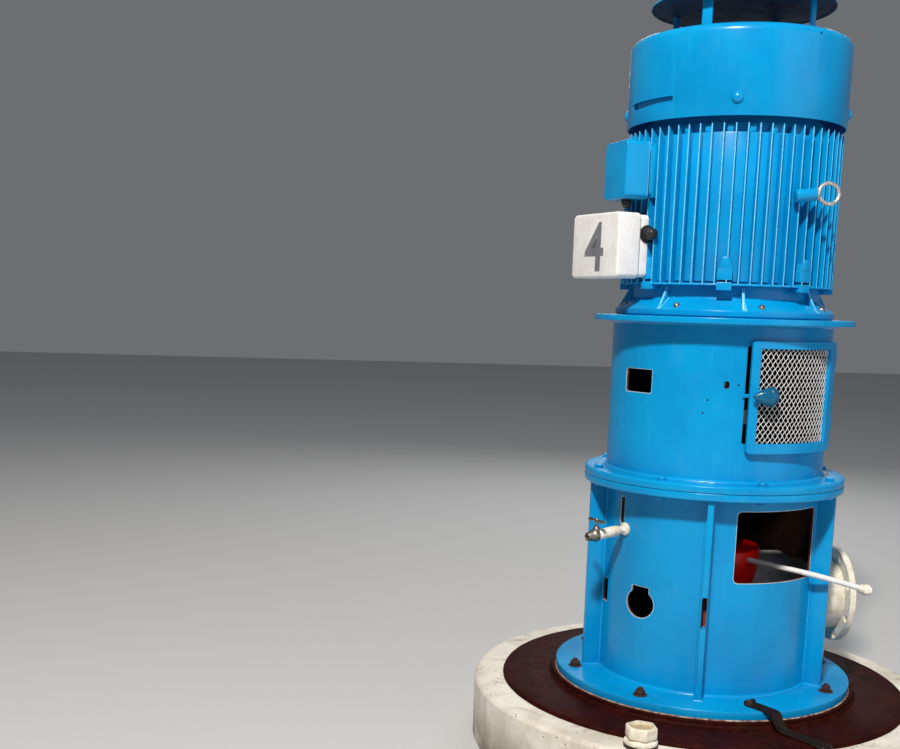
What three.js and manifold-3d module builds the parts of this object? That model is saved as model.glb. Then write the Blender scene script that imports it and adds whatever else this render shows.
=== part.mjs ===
// Vertical turbine pump: the discharge head and motor that stand above ground, in millimetres, +Z up.
// The origin is the centre of the concrete plinth's underside, and +X points along the discharge nozzle.
// Bearings are degrees anticlockwise from +X, seen from above.
import * as THREE from "three";
import { mergeVertices } from "three/addons/utils/BufferGeometryUtils.js";
import Module from "manifold-3d";

// Round members, as outer radii
const BARREL_RADIUS = 406.5;
const BARREL_WALL = 10;
const FLANGE_RADIUS = 488;
const MOTOR_FLANGE_RADIUS = 402;
const FIN_TIP_RADIUS = 389;
const FIN_ROOT_RADIUS = 360;
const COVER_RADIUS = 395;
const HOOD_RADIUS = 328;
const SOLE_RADIUS = 582;
const GROUT_RADIUS = 778;
const PLINTH_RADIUS = 890;

// Heights of the stack, each piece standing on the one before
const PLINTH_TOP = 240;
const GROUT_TOP = PLINTH_TOP + 15;
const SOLE_TOP = GROUT_TOP + 20;
const BASE_TOP = SOLE_TOP + 33;
const FLANGE_THICKNESS = 28;
const LOWER_BARREL_TOP = BASE_TOP + 730;
const PAIR_MIDDLE = LOWER_BARREL_TOP + FLANGE_THICKNESS;
const PAIR_TOP = PAIR_MIDDLE + FLANGE_THICKNESS;
const MID_BARREL_TOP = PAIR_TOP + 556;
const TOP_PLATE_TOP = MID_BARREL_TOP + 22;
const FRAME_BOTTOM = TOP_PLATE_TOP + 124;
const CORE_TOP = FRAME_BOTTOM + 505;
const FIN_TOP = CORE_TOP + 28;
const COVER_BOTTOM = FIN_TOP + 21;
const COVER_TOP = COVER_BOTTOM + 306;
const HOOD_UNDERSIDE = COVER_TOP + 130;

// Bearings
const RIB_BEARING = -108;
const RIB_COUNT = 5;
const FIN_COUNT = 60;
const LUG_BEARING = -109;
const LUG_COUNT = 8;
const GUSSET_BEARING = -98.2;
const HOOD_POST_BEARING = -135;

// Openings in the barrels
const WINDOW = { bearing: -67.4, width: 368, height: 260, bottom: 733, corner: 16 };
const DOORWAY = { bearing: -66.6, width: 391, height: 342, bottom: 1236, corner: 6 };
const HATCH = { bearing: -153, width: 134, height: 84, bottom: 1395, corner: 8 };
const KEYHOLE = { bearing: -142.6, radius: 48, notchWidth: 72, notchTop: 57, height: 618 };
const SIDE_HOLE = { bearing: -174.8, width: 46, height: 88, bottom: 577, corner: 3 };
const VENT_SLOT = { bearing: -159.5, width: 10, height: 100, bottom: 900, corner: 3 };
const OVAL_HOLE = { bearing: -104.4, width: 20, height: 27, bottom: 1427, corner: 9.9 };

// The lower barrel is rolled from three plates, welded along these bearings.
const BARREL_SEGMENTS = [
  { name: "lower_barrel_left", start: -180, end: RIB_BEARING },
  { name: "lower_barrel_right", start: RIB_BEARING, end: 0 },
  { name: "lower_barrel_rear", start: 0, end: 180 },
];

// Guard door
const DOOR = { inner: 412, outer: 430, start: -94.9, end: -36, bottom: 1204, top: 1596, corner: 14 };
const SCREEN = { inner: 418, outer: 421, start: -89.6, end: -44.5, bottom: 1239, top: 1570 };
const HINGE = { bearing: -33.5, radius: 422, pin: 3.5, knuckle: 7, height: 26, levels: [1274, 1512] };
const LATCH = { bearing: -84.7, height: 1406, base: 430, boss: 29 };

// Terminal boxes
const MAIN_BOX = { bearing: -171.3, reach: 530, facing: -159.5, width: 302, height: 232, bottom: 1801, lid: 68, body: 100 };
const AUX_BOX = { bearing: -163.4, reach: 497, facing: -167.5, width: 170, height: 200, bottom: 2079, lid: 80 };
const PAD_RADIUS = 391;

// Discharge and inner works
const NOZZLE_HEIGHT = 600;
const NOZZLE_RADIUS = 136.5;
const NOZZLE_BORE = 125;
const BEND_RADIUS = 168;
const BEND_TURN = 235;
const NOZZLE_END = 540;
const DISCHARGE_FLANGE = { radius: 186, thickness: 24, circle: 165, hole: 10, holes: 12 };
const SHAFT_RADIUS = 45;
const HOUSING_RADIUS = 200;
const HOUSING_TOP = 800;

// Fits and roundness
const GAP = 0.3;
const ROUND = 60;

const rad = THREE.MathUtils.degToRad;
const wasm = await Module();
wasm.setup();

// A closed geometry as a solid for joining and cutting.
function solid(geometry) {
  const g = geometry.index ? geometry.toNonIndexed() : geometry.clone();
  g.deleteAttribute("normal");
  g.deleteAttribute("uv");
  const merged = mergeVertices(g, 1e-4);
  return new wasm.Manifold(
    new wasm.Mesh({
      numProp: 3,
      vertProperties: new Float32Array(merged.attributes.position.array),
      triVerts: new Uint32Array(merged.index.array),
    }),
  );
}

// A solid's surface as a geometry.
function surface(body) {
  const mesh = body.getMesh();
  const count = mesh.vertProperties.length / mesh.numProp;
  const position = new Float32Array(count * 3);
  for (let i = 0; i < count; i++)
    position.set(mesh.vertProperties.subarray(i * mesh.numProp, i * mesh.numProp + 3), i * 3);
  const g = new THREE.BufferGeometry();
  g.setAttribute("position", new THREE.BufferAttribute(position, 3));
  g.setIndex(new THREE.BufferAttribute(new Uint32Array(mesh.triVerts), 1));
  g.computeVertexNormals();
  return g;
}

function place(bearing, radius, height) {
  return new THREE.Vector3(radius * Math.cos(rad(bearing)), radius * Math.sin(rad(bearing)), height);
}

// A turned piece: the profile holds [radius, height] pairs, outside going up.
function turned(profile, segments = ROUND) {
  const points = profile.map(([r, z]) => new THREE.Vector2(r, z));
  return new THREE.LatheGeometry(points, segments).rotateX(Math.PI / 2);
}

function disc(radius, low, high, segments = ROUND) {
  return turned([[0, low], [radius, low], [radius, high], [0, high]], segments);
}

function ring(inner, outer, low, high, segments = ROUND) {
  return turned([[inner, low], [outer, low], [outer, high], [inner, high], [inner, low]], segments);
}

// Part of a ring between two bearings.
function sector(inner, outer, start, end, low, high, steps = 16) {
  const shape = new THREE.Shape();
  shape.absarc(0, 0, outer, rad(start), rad(end), false);
  shape.absarc(0, 0, inner, rad(end), rad(start), true);
  shape.closePath();
  const g = new THREE.ExtrudeGeometry(shape, { depth: high - low, bevelEnabled: false, curveSegments: steps });
  return g.translate(0, 0, low);
}

function roundedRectangle(width, height, corner) {
  const w = width / 2;
  const h = height / 2;
  const shape = new THREE.Shape();
  shape.moveTo(-w + corner, -h);
  shape.lineTo(w - corner, -h);
  shape.absarc(w - corner, -h + corner, corner, -Math.PI / 2, 0, false);
  shape.lineTo(w, h - corner);
  shape.absarc(w - corner, h - corner, corner, 0, Math.PI / 2, false);
  shape.lineTo(-w + corner, h);
  shape.absarc(-w + corner, h - corner, corner, Math.PI / 2, Math.PI, false);
  shape.lineTo(-w, -h + corner);
  shape.absarc(-w + corner, -h + corner, corner, Math.PI, 1.5 * Math.PI, false);
  return shape;
}

// A flat outline, drawn as seen from outside, pushed outwards from one radius to another.
function outwards(shape, bearing, height, inner, outer, steps = 4) {
  const g = new THREE.ExtrudeGeometry(shape, { depth: outer - inner, bevelEnabled: false, curveSegments: steps });
  g.rotateX(Math.PI / 2);
  g.rotateZ(Math.PI / 2);
  g.translate(inner, 0, height);
  return g.rotateZ(rad(bearing));
}

function wallCut({ bearing, width, height, bottom, corner }) {
  const shape = roundedRectangle(width, height, corner);
  return solid(outwards(shape, bearing, bottom + height / 2, 250, 460));
}

// A rod from one point to another.
function rod(from, to, radius, sides = 20, endRadius = radius) {
  const length = from.distanceTo(to);
  const g = new THREE.CylinderGeometry(endRadius, radius, length, sides).translate(0, length / 2, 0);
  const turn = new THREE.Quaternion().setFromUnitVectors(
    new THREE.Vector3(0, 1, 0),
    to.clone().sub(from).normalize(),
  );
  return g.applyQuaternion(turn).translate(from.x, from.y, from.z);
}

// A block that reaches from one radius to another at a bearing.
function radialBlock(inner, outer, width, low, high, bearing) {
  const g = new THREE.BoxGeometry(outer - inner, width, high - low);
  return g.translate((inner + outer) / 2, 0, (low + high) / 2).rotateZ(rad(bearing));
}

const paint = new THREE.MeshStandardMaterial({ color: "#0c8fd6", roughness: 0.35, metalness: 0 });
const shadePaint = new THREE.MeshStandardMaterial({ color: "#0a78bd", roughness: 0.4, metalness: 0 });
const white = new THREE.MeshStandardMaterial({ color: "#e1e1de", roughness: 0.45, metalness: 0 });
const cream = new THREE.MeshStandardMaterial({ color: "#d8cfb8", roughness: 0.5, metalness: 0 });
const maroon = new THREE.MeshStandardMaterial({ color: "#54261f", roughness: 0.7, metalness: 0 });
const concrete = new THREE.MeshStandardMaterial({ color: "#c2b9a6", roughness: 0.95, metalness: 0 });
const galvanised = new THREE.MeshStandardMaterial({ color: "#c8c3be", roughness: 0.5, metalness: 0.6 });
const steel = new THREE.MeshStandardMaterial({ color: "#9a948c", roughness: 0.4, metalness: 0.8 });
const rust = new THREE.MeshStandardMaterial({ color: "#4a3126", roughness: 0.85, metalness: 0.2 });
const red = new THREE.MeshStandardMaterial({ color: "#a3120d", roughness: 0.5, metalness: 0 });
const grey = new THREE.MeshStandardMaterial({ color: "#7d7f7c", roughness: 0.6, metalness: 0 });
const black = new THREE.MeshStandardMaterial({ color: "#1b1b1c", roughness: 0.5, metalness: 0 });

const pump = new THREE.Group();

function add(name, geometry, material, parent = pump) {
  const mesh = new THREE.Mesh(geometry.isBufferGeometry ? geometry : surface(geometry), material);
  mesh.name = name;
  parent.add(mesh);
  return mesh;
}

function addPlinth() {
  const edge = 12;
  const radius = PLINTH_RADIUS;
  add(
    "concrete_plinth",
    turned([[0, 0], [radius, 0], [radius, PLINTH_TOP - edge], [radius - edge, PLINTH_TOP], [0, PLINTH_TOP]]),
    concrete,
  );
  add("painted_grout", disc(GROUT_RADIUS, PLINTH_TOP, GROUT_TOP), maroon);
  add("sole_plate", disc(SOLE_RADIUS, GROUT_TOP, SOLE_TOP), maroon);
  const foot = PLINTH_TOP;
  const cap = solid(disc(50, foot, foot + 24, 32))
    .add(solid(disc(46, foot + 23, foot + 36, 32)))
    .add(solid(disc(53, foot + 35, foot + 60, 6)))
    .add(solid(turned([[0, foot + 59], [44, foot + 59], [34, foot + 82], [0, foot + 84]], 24)));
  const at = place(-120.6, GROUT_RADIUS + 52, 0);
  add("sounding_tube_cap", surface(cap).translate(at.x, at.y, 0), cream);
}

// The earth strap lies on the base flange, bends down over its edge and runs askew to the plinth's edge.
function addEarthStrap() {
  const thickness = 6;
  const width = 34;
  const low = GROUT_TOP + GAP;
  const profile = [
    [0, BASE_TOP + GAP],
    [108, BASE_TOP + GAP],
    [140, SOLE_TOP + 6],
    [146, low + 12],
    [162, low],
    [334, low],
    [346, PLINTH_TOP + GAP],
    [404, PLINTH_TOP + GAP],
  ];
  const shape = new THREE.Shape();
  profile.forEach(([s, z], i) => (i ? shape.lineTo(s, z) : shape.moveTo(s, z)));
  [...profile].reverse().forEach(([s, z]) => shape.lineTo(s + thickness * 0.9, z + thickness));
  shape.closePath();
  const g = new THREE.ExtrudeGeometry(shape, { depth: width, bevelEnabled: false });
  g.rotateX(Math.PI / 2).translate(0, width / 2, 0).rotateZ(rad(-60));
  const end = place(-86.3, 480, 0);
  add("earth_strap", g.translate(end.x, end.y, 0), rust);
}

function keyholeShape() {
  const half = KEYHOLE.notchWidth / 2;
  const start = Math.atan2(Math.sqrt(KEYHOLE.radius ** 2 - half ** 2), half);
  const shape = new THREE.Shape();
  shape.moveTo(half, KEYHOLE.notchTop);
  shape.lineTo(-half, KEYHOLE.notchTop);
  shape.absarc(0, 0, KEYHOLE.radius, Math.PI - start, 2 * Math.PI + start, false);
  shape.closePath();
  return shape;
}

function addLowerBarrel() {
  add("base_flange", disc(565, SOLE_TOP, BASE_TOP), paint);
  const inner = BARREL_RADIUS - BARREL_WALL;
  const nozzleHole = rod(place(0, 300, NOZZLE_HEIGHT), place(0, 460, NOZZLE_HEIGHT), NOZZLE_RADIUS + GAP + 0.2, 40);
  const keyhole = outwards(keyholeShape(), KEYHOLE.bearing, KEYHOLE.height, 250, 460, 8);
  const barrel = solid(ring(inner, BARREL_RADIUS, BASE_TOP, LOWER_BARREL_TOP))
    .subtract(wallCut(WINDOW))
    .subtract(wallCut(SIDE_HOLE))
    .subtract(wallCut(VENT_SLOT))
    .subtract(solid(keyhole))
    .subtract(solid(nozzleHole));
  for (const { name, start, end } of BARREL_SEGMENTS) {
    const keep = sector(inner - 60, BARREL_RADIUS + 60, start, end, BASE_TOP - 5, LOWER_BARREL_TOP + 5, 24);
    add(name, barrel.intersect(solid(keep)), paint);
  }
  add("lower_top_flange", ring(inner, FLANGE_RADIUS, LOWER_BARREL_TOP, PAIR_MIDDLE), paint);
}

// Flat ribs stiffen the lower barrel. The one at the front has a narrow slot in its outer edge.
function addRibs() {
  const thickness = 22;
  const depth = 66;
  const root = BARREL_RADIUS + GAP;
  const slot = solid(radialBlock(root + 6, root + depth + 10, 15, 573, 690, RIB_BEARING));
  for (let i = 0; i < RIB_COUNT; i++) {
    const bearing = RIB_BEARING + (i * 360) / RIB_COUNT;
    const rib = solid(radialBlock(root, root + depth, thickness, BASE_TOP, LOWER_BARREL_TOP, bearing));
    add("stiffening_rib_" + (i + 1), i ? rib : rib.subtract(slot), paint);
  }
}

function addMidBarrel() {
  const inner = BARREL_RADIUS - BARREL_WALL;
  add("mid_bottom_flange", ring(inner, FLANGE_RADIUS, PAIR_MIDDLE, PAIR_TOP), paint);
  const barrel = solid(ring(inner, BARREL_RADIUS, PAIR_TOP, MID_BARREL_TOP))
    .subtract(wallCut(DOORWAY))
    .subtract(wallCut(HATCH))
    .subtract(wallCut(OVAL_HOLE));
  add("mid_barrel", barrel, paint);
  add("top_plate", ring(120, 480, MID_BARREL_TOP, TOP_PLATE_TOP), paint);
}

// The guard door is a curved frame round an expanded-metal screen, hung on two lift-off hinges.
function addDoor() {
  const mid = (DOOR.start + DOOR.end) / 2;
  const height = DOOR.top - DOOR.bottom;
  const chord = 2 * DOOR.outer * Math.sin(rad((DOOR.end - DOOR.start) / 2));
  const outline = outwards(
    roundedRectangle(chord, height, DOOR.corner),
    mid,
    DOOR.bottom + height / 2,
    300,
    460,
    4,
  );
  const hinge = place(HINGE.bearing, HINGE.radius, 0);
  const latchPlate = outwards(roundedRectangle(84, 42, 6), LATCH.bearing - 1.8, LATCH.height, 421, LATCH.base);
  const tongue = sector(DOOR.inner, DOOR.inner + 6, DOOR.start - 2.4, DOOR.start + 2, LATCH.height - 10, LATCH.height + 10, 4);
  let frame = solid(sector(DOOR.inner, DOOR.outer, DOOR.start, DOOR.end, DOOR.bottom, DOOR.top, 20))
    .intersect(solid(outline))
    .subtract(solid(sector(400, 440, SCREEN.start, SCREEN.end, SCREEN.bottom, SCREEN.top, 16)))
    .add(solid(latchPlate))
    .add(solid(tongue));
  for (const level of HINGE.levels) {
    const low = level + HINGE.height + 0.5;
    const high = low + HINGE.height;
    const knuckle = solid(disc(HINGE.knuckle, low, high, 20).translate(hinge.x, hinge.y, 0));
    const arm = solid(sector(HINGE.radius - 4, HINGE.radius + 4, DOOR.end - 3, HINGE.bearing - 0.7, low, high, 4));
    const bore = solid(disc(HINGE.pin + 0.6, low - 1, high + 1, 20).translate(hinge.x, hinge.y, 0));
    frame = frame.add(arm).add(knuckle).subtract(bore);
  }
  add("door_frame", frame, paint);
  HINGE.levels.forEach((level, i) => {
    const pinTop = level + 2 * HINGE.height;
    const bracket = solid(
      sector(BARREL_RADIUS + GAP, HINGE.radius, HINGE.bearing - 1.6, HINGE.bearing + 3, level, level + HINGE.height, 4),
    )
      .add(solid(disc(HINGE.knuckle, level, level + HINGE.height, 20).translate(hinge.x, hinge.y, 0)))
      .add(solid(disc(HINGE.pin, level, pinTop, 20).translate(hinge.x, hinge.y, 0)));
    add("door_hinge_" + (i + 1), bracket, paint);
  });
  addScreen();
  addLatch();
}

// The screen is expanded metal, held here as one thin curved sheet.
function addScreen() {
  const edge = 0.04;
  const sheet = sector(
    SCREEN.inner,
    SCREEN.outer,
    SCREEN.start + edge,
    SCREEN.end - edge,
    SCREEN.bottom + GAP,
    SCREEN.top - GAP,
  );
  add("door_screen", sheet, galvanised);
}

// The latch is a round boss with a pointed grip that turns on the door's stile.
function addLatch() {
  const group = new THREE.Group();
  const spot = place(LATCH.bearing, LATCH.base + 4, LATCH.height);
  group.position.copy(spot);
  group.rotation.z = rad(LATCH.bearing);
  const boss = turned([[0, -3], [9, -3], [9, 4], [LATCH.boss, 4], [LATCH.boss, 12], [20, 20], [0, 22]], 28);
  boss.rotateY(Math.PI / 2);
  const grip = new THREE.ConeGeometry(23, 78, 20).scale(0.62, 1, 1).rotateX(Math.PI);
  grip.translate(18, -39 + 16, 0);
  add("latch_handle", solid(boss).add(solid(grip)), paint, group);
  pump.add(group);
}

function addEndShield() {
  const neck = 345;
  const top = FRAME_BOTTOM - GAP;
  const rim = TOP_PLATE_TOP + 24;
  let shield = solid(
    turned([
      [0, TOP_PLATE_TOP],
      [MOTOR_FLANGE_RADIUS - 6, TOP_PLATE_TOP],
      [MOTOR_FLANGE_RADIUS - 6, TOP_PLATE_TOP + 4],
      [MOTOR_FLANGE_RADIUS, TOP_PLATE_TOP + 4],
      [MOTOR_FLANGE_RADIUS, rim],
      [neck + 7, TOP_PLATE_TOP + 60],
      [neck, TOP_PLATE_TOP + 66],
      [neck, top],
      [0, top],
    ]),
  );
  const gusset = new THREE.Shape();
  gusset.moveTo(neck - 15, rim + 4);
  gusset.lineTo(MOTOR_FLANGE_RADIUS - 5, rim + 3);
  gusset.lineTo(neck + 4, TOP_PLATE_TOP + 108);
  gusset.lineTo(neck - 15, TOP_PLATE_TOP + 108);
  gusset.closePath();
  const width = 10;
  for (let i = 0; i < LUG_COUNT; i++) {
    const turn = (i * 360) / LUG_COUNT;
    const web = new THREE.ExtrudeGeometry(gusset, { depth: width, bevelEnabled: false });
    web.rotateX(Math.PI / 2).translate(0, width / 2, 0).rotateZ(rad(GUSSET_BEARING + turn));
    const lug = radialBlock(neck - 20, FIN_TIP_RADIUS, 52, top - 28, top, LUG_BEARING + turn);
    shield = shield.add(solid(web)).add(solid(lug));
  }
  add("motor_end_shield", shield, paint);
}

function finnedOutline() {
  const shape = new THREE.Shape();
  const rootHalf = rad(0.72);
  const tipHalf = rad(0.4);
  for (let i = 0; i < FIN_COUNT; i++) {
    const middle = rad((i * 360) / FIN_COUNT);
    const corners = [
      [FIN_ROOT_RADIUS, middle - rootHalf],
      [FIN_TIP_RADIUS, middle - tipHalf],
      [FIN_TIP_RADIUS, middle + tipHalf],
      [FIN_ROOT_RADIUS, middle + rootHalf],
    ];
    for (const [r, a] of corners) {
      if (i || a !== corners[0][1]) shape.lineTo(r * Math.cos(a), r * Math.sin(a));
      else shape.moveTo(r * Math.cos(a), r * Math.sin(a));
    }
  }
  shape.closePath();
  return shape;
}

// The motor frame: radial fins on a round core, bolting lugs at the foot and flat pads behind the terminal boxes.
function addMotorFrame() {
  const fins = new THREE.ExtrudeGeometry(finnedOutline(), { depth: FIN_TOP - FRAME_BOTTOM, bevelEnabled: false });
  let frame = solid(fins.translate(0, 0, FRAME_BOTTOM)).subtract(solid(disc(FIN_ROOT_RADIUS + 2, CORE_TOP, FIN_TOP + 10)));
  for (let i = 0; i < LUG_COUNT; i++) {
    const bearing = LUG_BEARING + (i * 360) / LUG_COUNT;
    frame = frame.add(solid(radialBlock(350, FIN_TIP_RADIUS, 52, FRAME_BOTTOM, FRAME_BOTTOM + 42, bearing)));
  }
  frame = frame
    .add(solid(sector(360, PAD_RADIUS, MAIN_BOX.bearing - 12, MAIN_BOX.bearing + 17, MAIN_BOX.bottom + 22, MAIN_BOX.bottom + 212, 8)))
    .add(solid(sector(360, PAD_RADIUS, AUX_BOX.bearing - 11, AUX_BOX.bearing + 11, AUX_BOX.bottom + 8, AUX_BOX.bottom + 196, 6)));
  add("motor_frame", frame, paint);
  add(
    "upper_end_shield",
    turned([[0, CORE_TOP + GAP], [340, CORE_TOP + GAP], [330, CORE_TOP + 60], [280, 2440 - GAP], [0, 2440 - GAP]]),
    shadePaint,
  );
}

function addFanCover() {
  const crown = 30;
  const wall = 6;
  const recess = 2440;
  const intake = { radius: 212, floor: COVER_TOP - 26 };
  const profile = [
    [0, recess],
    [COVER_RADIUS - wall, recess],
    [COVER_RADIUS - wall, COVER_BOTTOM],
    [COVER_RADIUS, COVER_BOTTOM],
  ];
  const steps = 4;
  for (let i = 0; i <= steps; i++) {
    const a = (i / steps) * (Math.PI / 2);
    profile.push([COVER_RADIUS - crown + crown * Math.cos(a), COVER_TOP - crown + crown * Math.sin(a)]);
  }
  profile.push([intake.radius, COVER_TOP], [intake.radius, intake.floor], [0, intake.floor]);
  const slot = sector(COVER_RADIUS - 12, COVER_RADIUS + 15, -172, -142, 2404, 2427, 8);
  add("fan_cover", solid(turned(profile)).subtract(solid(slot)), paint);
  let grille = solid(disc(intake.radius - GAP, COVER_TOP - 4, COVER_TOP, 48));
  for (let k = 0; k < 2; k++) {
    for (let i = 0; i < 4; i++) {
      const start = i * 90 + 10;
      const inner = 50 + k * 78;
      grille = grille.subtract(solid(sector(inner, inner + 62, start, start + 70, COVER_TOP - 9, COVER_TOP + 5, 4)));
    }
  }
  add("intake_grille", grille, shadePaint);
}

function addRainHood() {
  add(
    "rain_hood",
    turned([
      [0, HOOD_UNDERSIDE + 14],
      [HOOD_RADIUS - 16, HOOD_UNDERSIDE],
      [HOOD_RADIUS - 5, HOOD_UNDERSIDE - 6],
      [HOOD_RADIUS, HOOD_UNDERSIDE - 6],
      [HOOD_RADIUS, HOOD_UNDERSIDE + 1],
      [HOOD_RADIUS - 12, HOOD_UNDERSIDE + 8],
      [HOOD_RADIUS * 0.6, HOOD_UNDERSIDE + 19],
      [0, HOOD_UNDERSIDE + 23],
    ]),
    paint,
  );
  for (let i = 0; i < 4; i++) {
    const bearing = HOOD_POST_BEARING + i * 90;
    add("hood_post_" + (i + 1), radialBlock(264, 272, 44, COVER_TOP + GAP, HOOD_UNDERSIDE + 1.5, bearing), paint);
  }
}

// Lifting eyes stand on bosses that point along the discharge and a little upwards, one on each side of the frame.
function addLiftingEyes() {
  const side = 391;
  const start = new THREE.Vector3(96, 0, 2090);
  const rise = 6;
  const length = 73;
  for (const sign of [-1, 1]) {
    const name = sign < 0 ? "front" : "rear";
    const root = start.clone().setY(sign * side);
    const along = new THREE.Vector3(Math.cos(rad(rise)), 0, Math.sin(rad(rise)));
    const frameCut = solid(disc(FIN_TIP_RADIUS + GAP, root.z - 60, root.z + 60));
    const boss = solid(rod(root, root.clone().addScaledVector(along, length), 22, 24)).subtract(frameCut);
    add("lifting_boss_" + name, boss, paint);
    const eye = new THREE.Group();
    eye.position.copy(root.clone().addScaledVector(along, length + GAP));
    eye.rotation.y = -rad(rise);
    const torus = new THREE.TorusGeometry(35.5, 6.8, 8, 24).rotateX(Math.PI / 2 - rad(8)).translate(44, 0, 0);
    const collar = rod(new THREE.Vector3(0, 0, 0), new THREE.Vector3(9, 0, 0), 17, 20);
    add("lifting_eye_" + name, solid(torus).add(solid(collar)), galvanised, eye);
    pump.add(eye);
  }
}

function roundedBox(width, height, depth, corner, edge) {
  const shape = roundedRectangle(width - 2 * edge, height - 2 * edge, corner);
  const g = new THREE.ExtrudeGeometry(shape, {
    depth: depth - edge,
    bevelEnabled: true,
    bevelThickness: edge,
    bevelSize: edge,
    bevelSegments: 1,
    curveSegments: 2,
  });
  return g.rotateX(Math.PI / 2).rotateZ(Math.PI / 2);
}

// A terminal box lid is a deep tray whose rear edge is square and whose front edge is rounded.
function lid(width, height, depth) {
  const tray = solid(roundedBox(width, height, depth, 12, 7));
  const keep = new THREE.BoxGeometry(depth, width + 10, height + 10).translate(depth / 2 + 0.001, 0, 0);
  return tray.intersect(solid(keep));
}

function addMainBox() {
  const { bearing, reach, facing, width, height, bottom, lid: lidDepth, body } = MAIN_BOX;
  const spot = place(bearing, reach, bottom + height / 2);
  const back = -lidDepth - GAP;
  const motor = solid(disc(PAD_RADIUS + 0.5, 1700, 2100, 120).translate(-spot.x, -spot.y, -spot.z).rotateZ(-rad(facing)));
  const box = solid(new THREE.BoxGeometry(body, width - 16, height - 16).translate(back - body / 2, 0, 0)).subtract(motor);
  const neckWidth = 200;
  const neck = solid(
    new THREE.BoxGeometry(90, neckWidth, 170).translate(back - body - 45, -18, 0),
  ).subtract(motor);
  const side = width / 2 - 8 + GAP;
  const entry = { along: back - 26, height: 42 };
  const outTo = (reached) => new THREE.Vector3(entry.along, side + reached, entry.height);
  const gland = rod(outTo(0), outTo(46), 21, 24);
  const collar = rod(outTo(0), outTo(18), 25, 6);
  const group = new THREE.Group();
  group.position.copy(spot);
  group.rotation.z = rad(facing);
  add("main_terminal_box_lid", surface(lid(width, height, lidDepth)).translate(-lidDepth, 0, 0), white, group);
  add("main_terminal_box", box.add(neck), white, group);
  add("main_cable_gland", solid(gland).add(solid(collar)), black, group);
  pump.add(group);
}

function addAuxBox() {
  const { bearing, reach, facing, width, height, bottom, lid: lidDepth } = AUX_BOX;
  const spot = place(bearing, reach, bottom + height / 2);
  const group = new THREE.Group();
  group.position.copy(spot);
  group.rotation.z = rad(facing);
  const seat = -lidDepth - GAP;
  const depth = 60;
  const motor = solid(disc(PAD_RADIUS + 0.5, 2000, 2400, 120).translate(-spot.x, -spot.y, -spot.z).rotateZ(-rad(facing)));
  const back = solid(
    new THREE.BoxGeometry(depth, width - 14, height - 14).translate(seat - depth / 2, 0, 0),
  ).subtract(motor);
  add("aux_terminal_box_lid", surface(lid(width, height, lidDepth)).translate(-lidDepth, 0, 0), paint, group);
  add("aux_terminal_box", back, paint, group);
  const floor = -height / 2 - GAP;
  const entry = [-40, 20];
  const gland = solid(rod(new THREE.Vector3(...entry, floor), new THREE.Vector3(...entry, floor - 30), 15, 20)).add(
    solid(rod(new THREE.Vector3(...entry, floor), new THREE.Vector3(...entry, floor - 11), 20, 6)),
  );
  add("aux_cable_gland", gland, black, group);
  pump.add(group);
}

function bendSolid(extra = 0) {
  const radius = BEND_RADIUS + extra;
  const points = [new THREE.Vector3(0, 0, BASE_TOP + GAP)];
  const steps = 8;
  for (let i = 0; i <= steps; i++) {
    const a = (i / steps) * (Math.PI / 2);
    points.push(new THREE.Vector3(BEND_TURN * (1 - Math.cos(a)), 0, NOZZLE_HEIGHT - BEND_TURN * (1 - Math.sin(a))));
  }
  const section = new THREE.Shape().absarc(0, 0, radius, 0, 2 * Math.PI, false);
  const sweep = new THREE.ExtrudeGeometry(section, {
    steps: 10,
    curveSegments: 14,
    bevelEnabled: false,
    extrudePath: new THREE.CatmullRomCurve3(points),
  });
  const straight = turned(
    [[0, BEND_TURN - 6], [radius - 2, BEND_TURN - 6], [radius - 2, 300], [NOZZLE_RADIUS + extra, 352], [NOZZLE_RADIUS + extra, NOZZLE_END], [0, NOZZLE_END]],
    40,
  );
  straight.rotateY(Math.PI / 2).translate(0, 0, NOZZLE_HEIGHT);
  return solid(sweep).add(solid(straight));
}

function addDischarge() {
  const bore = rod(place(0, 360, NOZZLE_HEIGHT), place(0, NOZZLE_END + 20, NOZZLE_HEIGHT), NOZZLE_BORE, 40);
  add("discharge_bend", bendSolid().subtract(solid(bore)), grey);
  const { radius, thickness, circle, hole, holes } = DISCHARGE_FLANGE;
  let flange = solid(ring(NOZZLE_RADIUS + GAP, radius, NOZZLE_END - thickness, NOZZLE_END, 48));
  for (let i = 0; i < holes; i++) {
    const a = ((i + 0.5) / holes) * 2 * Math.PI;
    const drill = new THREE.CylinderGeometry(hole, hole, thickness + 20, 12).rotateX(Math.PI / 2);
    drill.translate(circle * Math.cos(a), circle * Math.sin(a), NOZZLE_END - thickness / 2);
    flange = flange.subtract(solid(drill));
  }
  add("discharge_flange", surface(flange).rotateY(Math.PI / 2).translate(0, 0, NOZZLE_HEIGHT), cream);
}

function addInnerWorks() {
  const follower = HOUSING_TOP + 44;
  const housing = solid(
    turned([
      [0, 620],
      [150, 620],
      [150, 660],
      [HOUSING_RADIUS - 18, 752],
      [HOUSING_RADIUS, 756],
      [HOUSING_RADIUS, HOUSING_TOP],
      [105, HOUSING_TOP],
      [95, follower],
      [0, follower],
    ], 48),
  ).subtract(bendSolid(GAP));
  add("stuffing_box_housing", housing, red);
  const couplingLow = 1190;
  const couplingHigh = 1410;
  add(
    "pump_shaft",
    disc(SHAFT_RADIUS, follower + GAP, TOP_PLATE_TOP - GAP, 32),
    steel,
  );
  const bore = SHAFT_RADIUS + GAP;
  add(
    "shaft_coupling",
    turned([
      [bore, couplingLow],
      [78, couplingLow],
      [78, couplingLow + 80],
      [118, couplingLow + 88],
      [118, couplingHigh - 88],
      [78, couplingHigh - 80],
      [78, couplingHigh],
      [bore, couplingHigh],
      [bore, couplingLow],
    ], 40),
    grey,
  );
}

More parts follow.
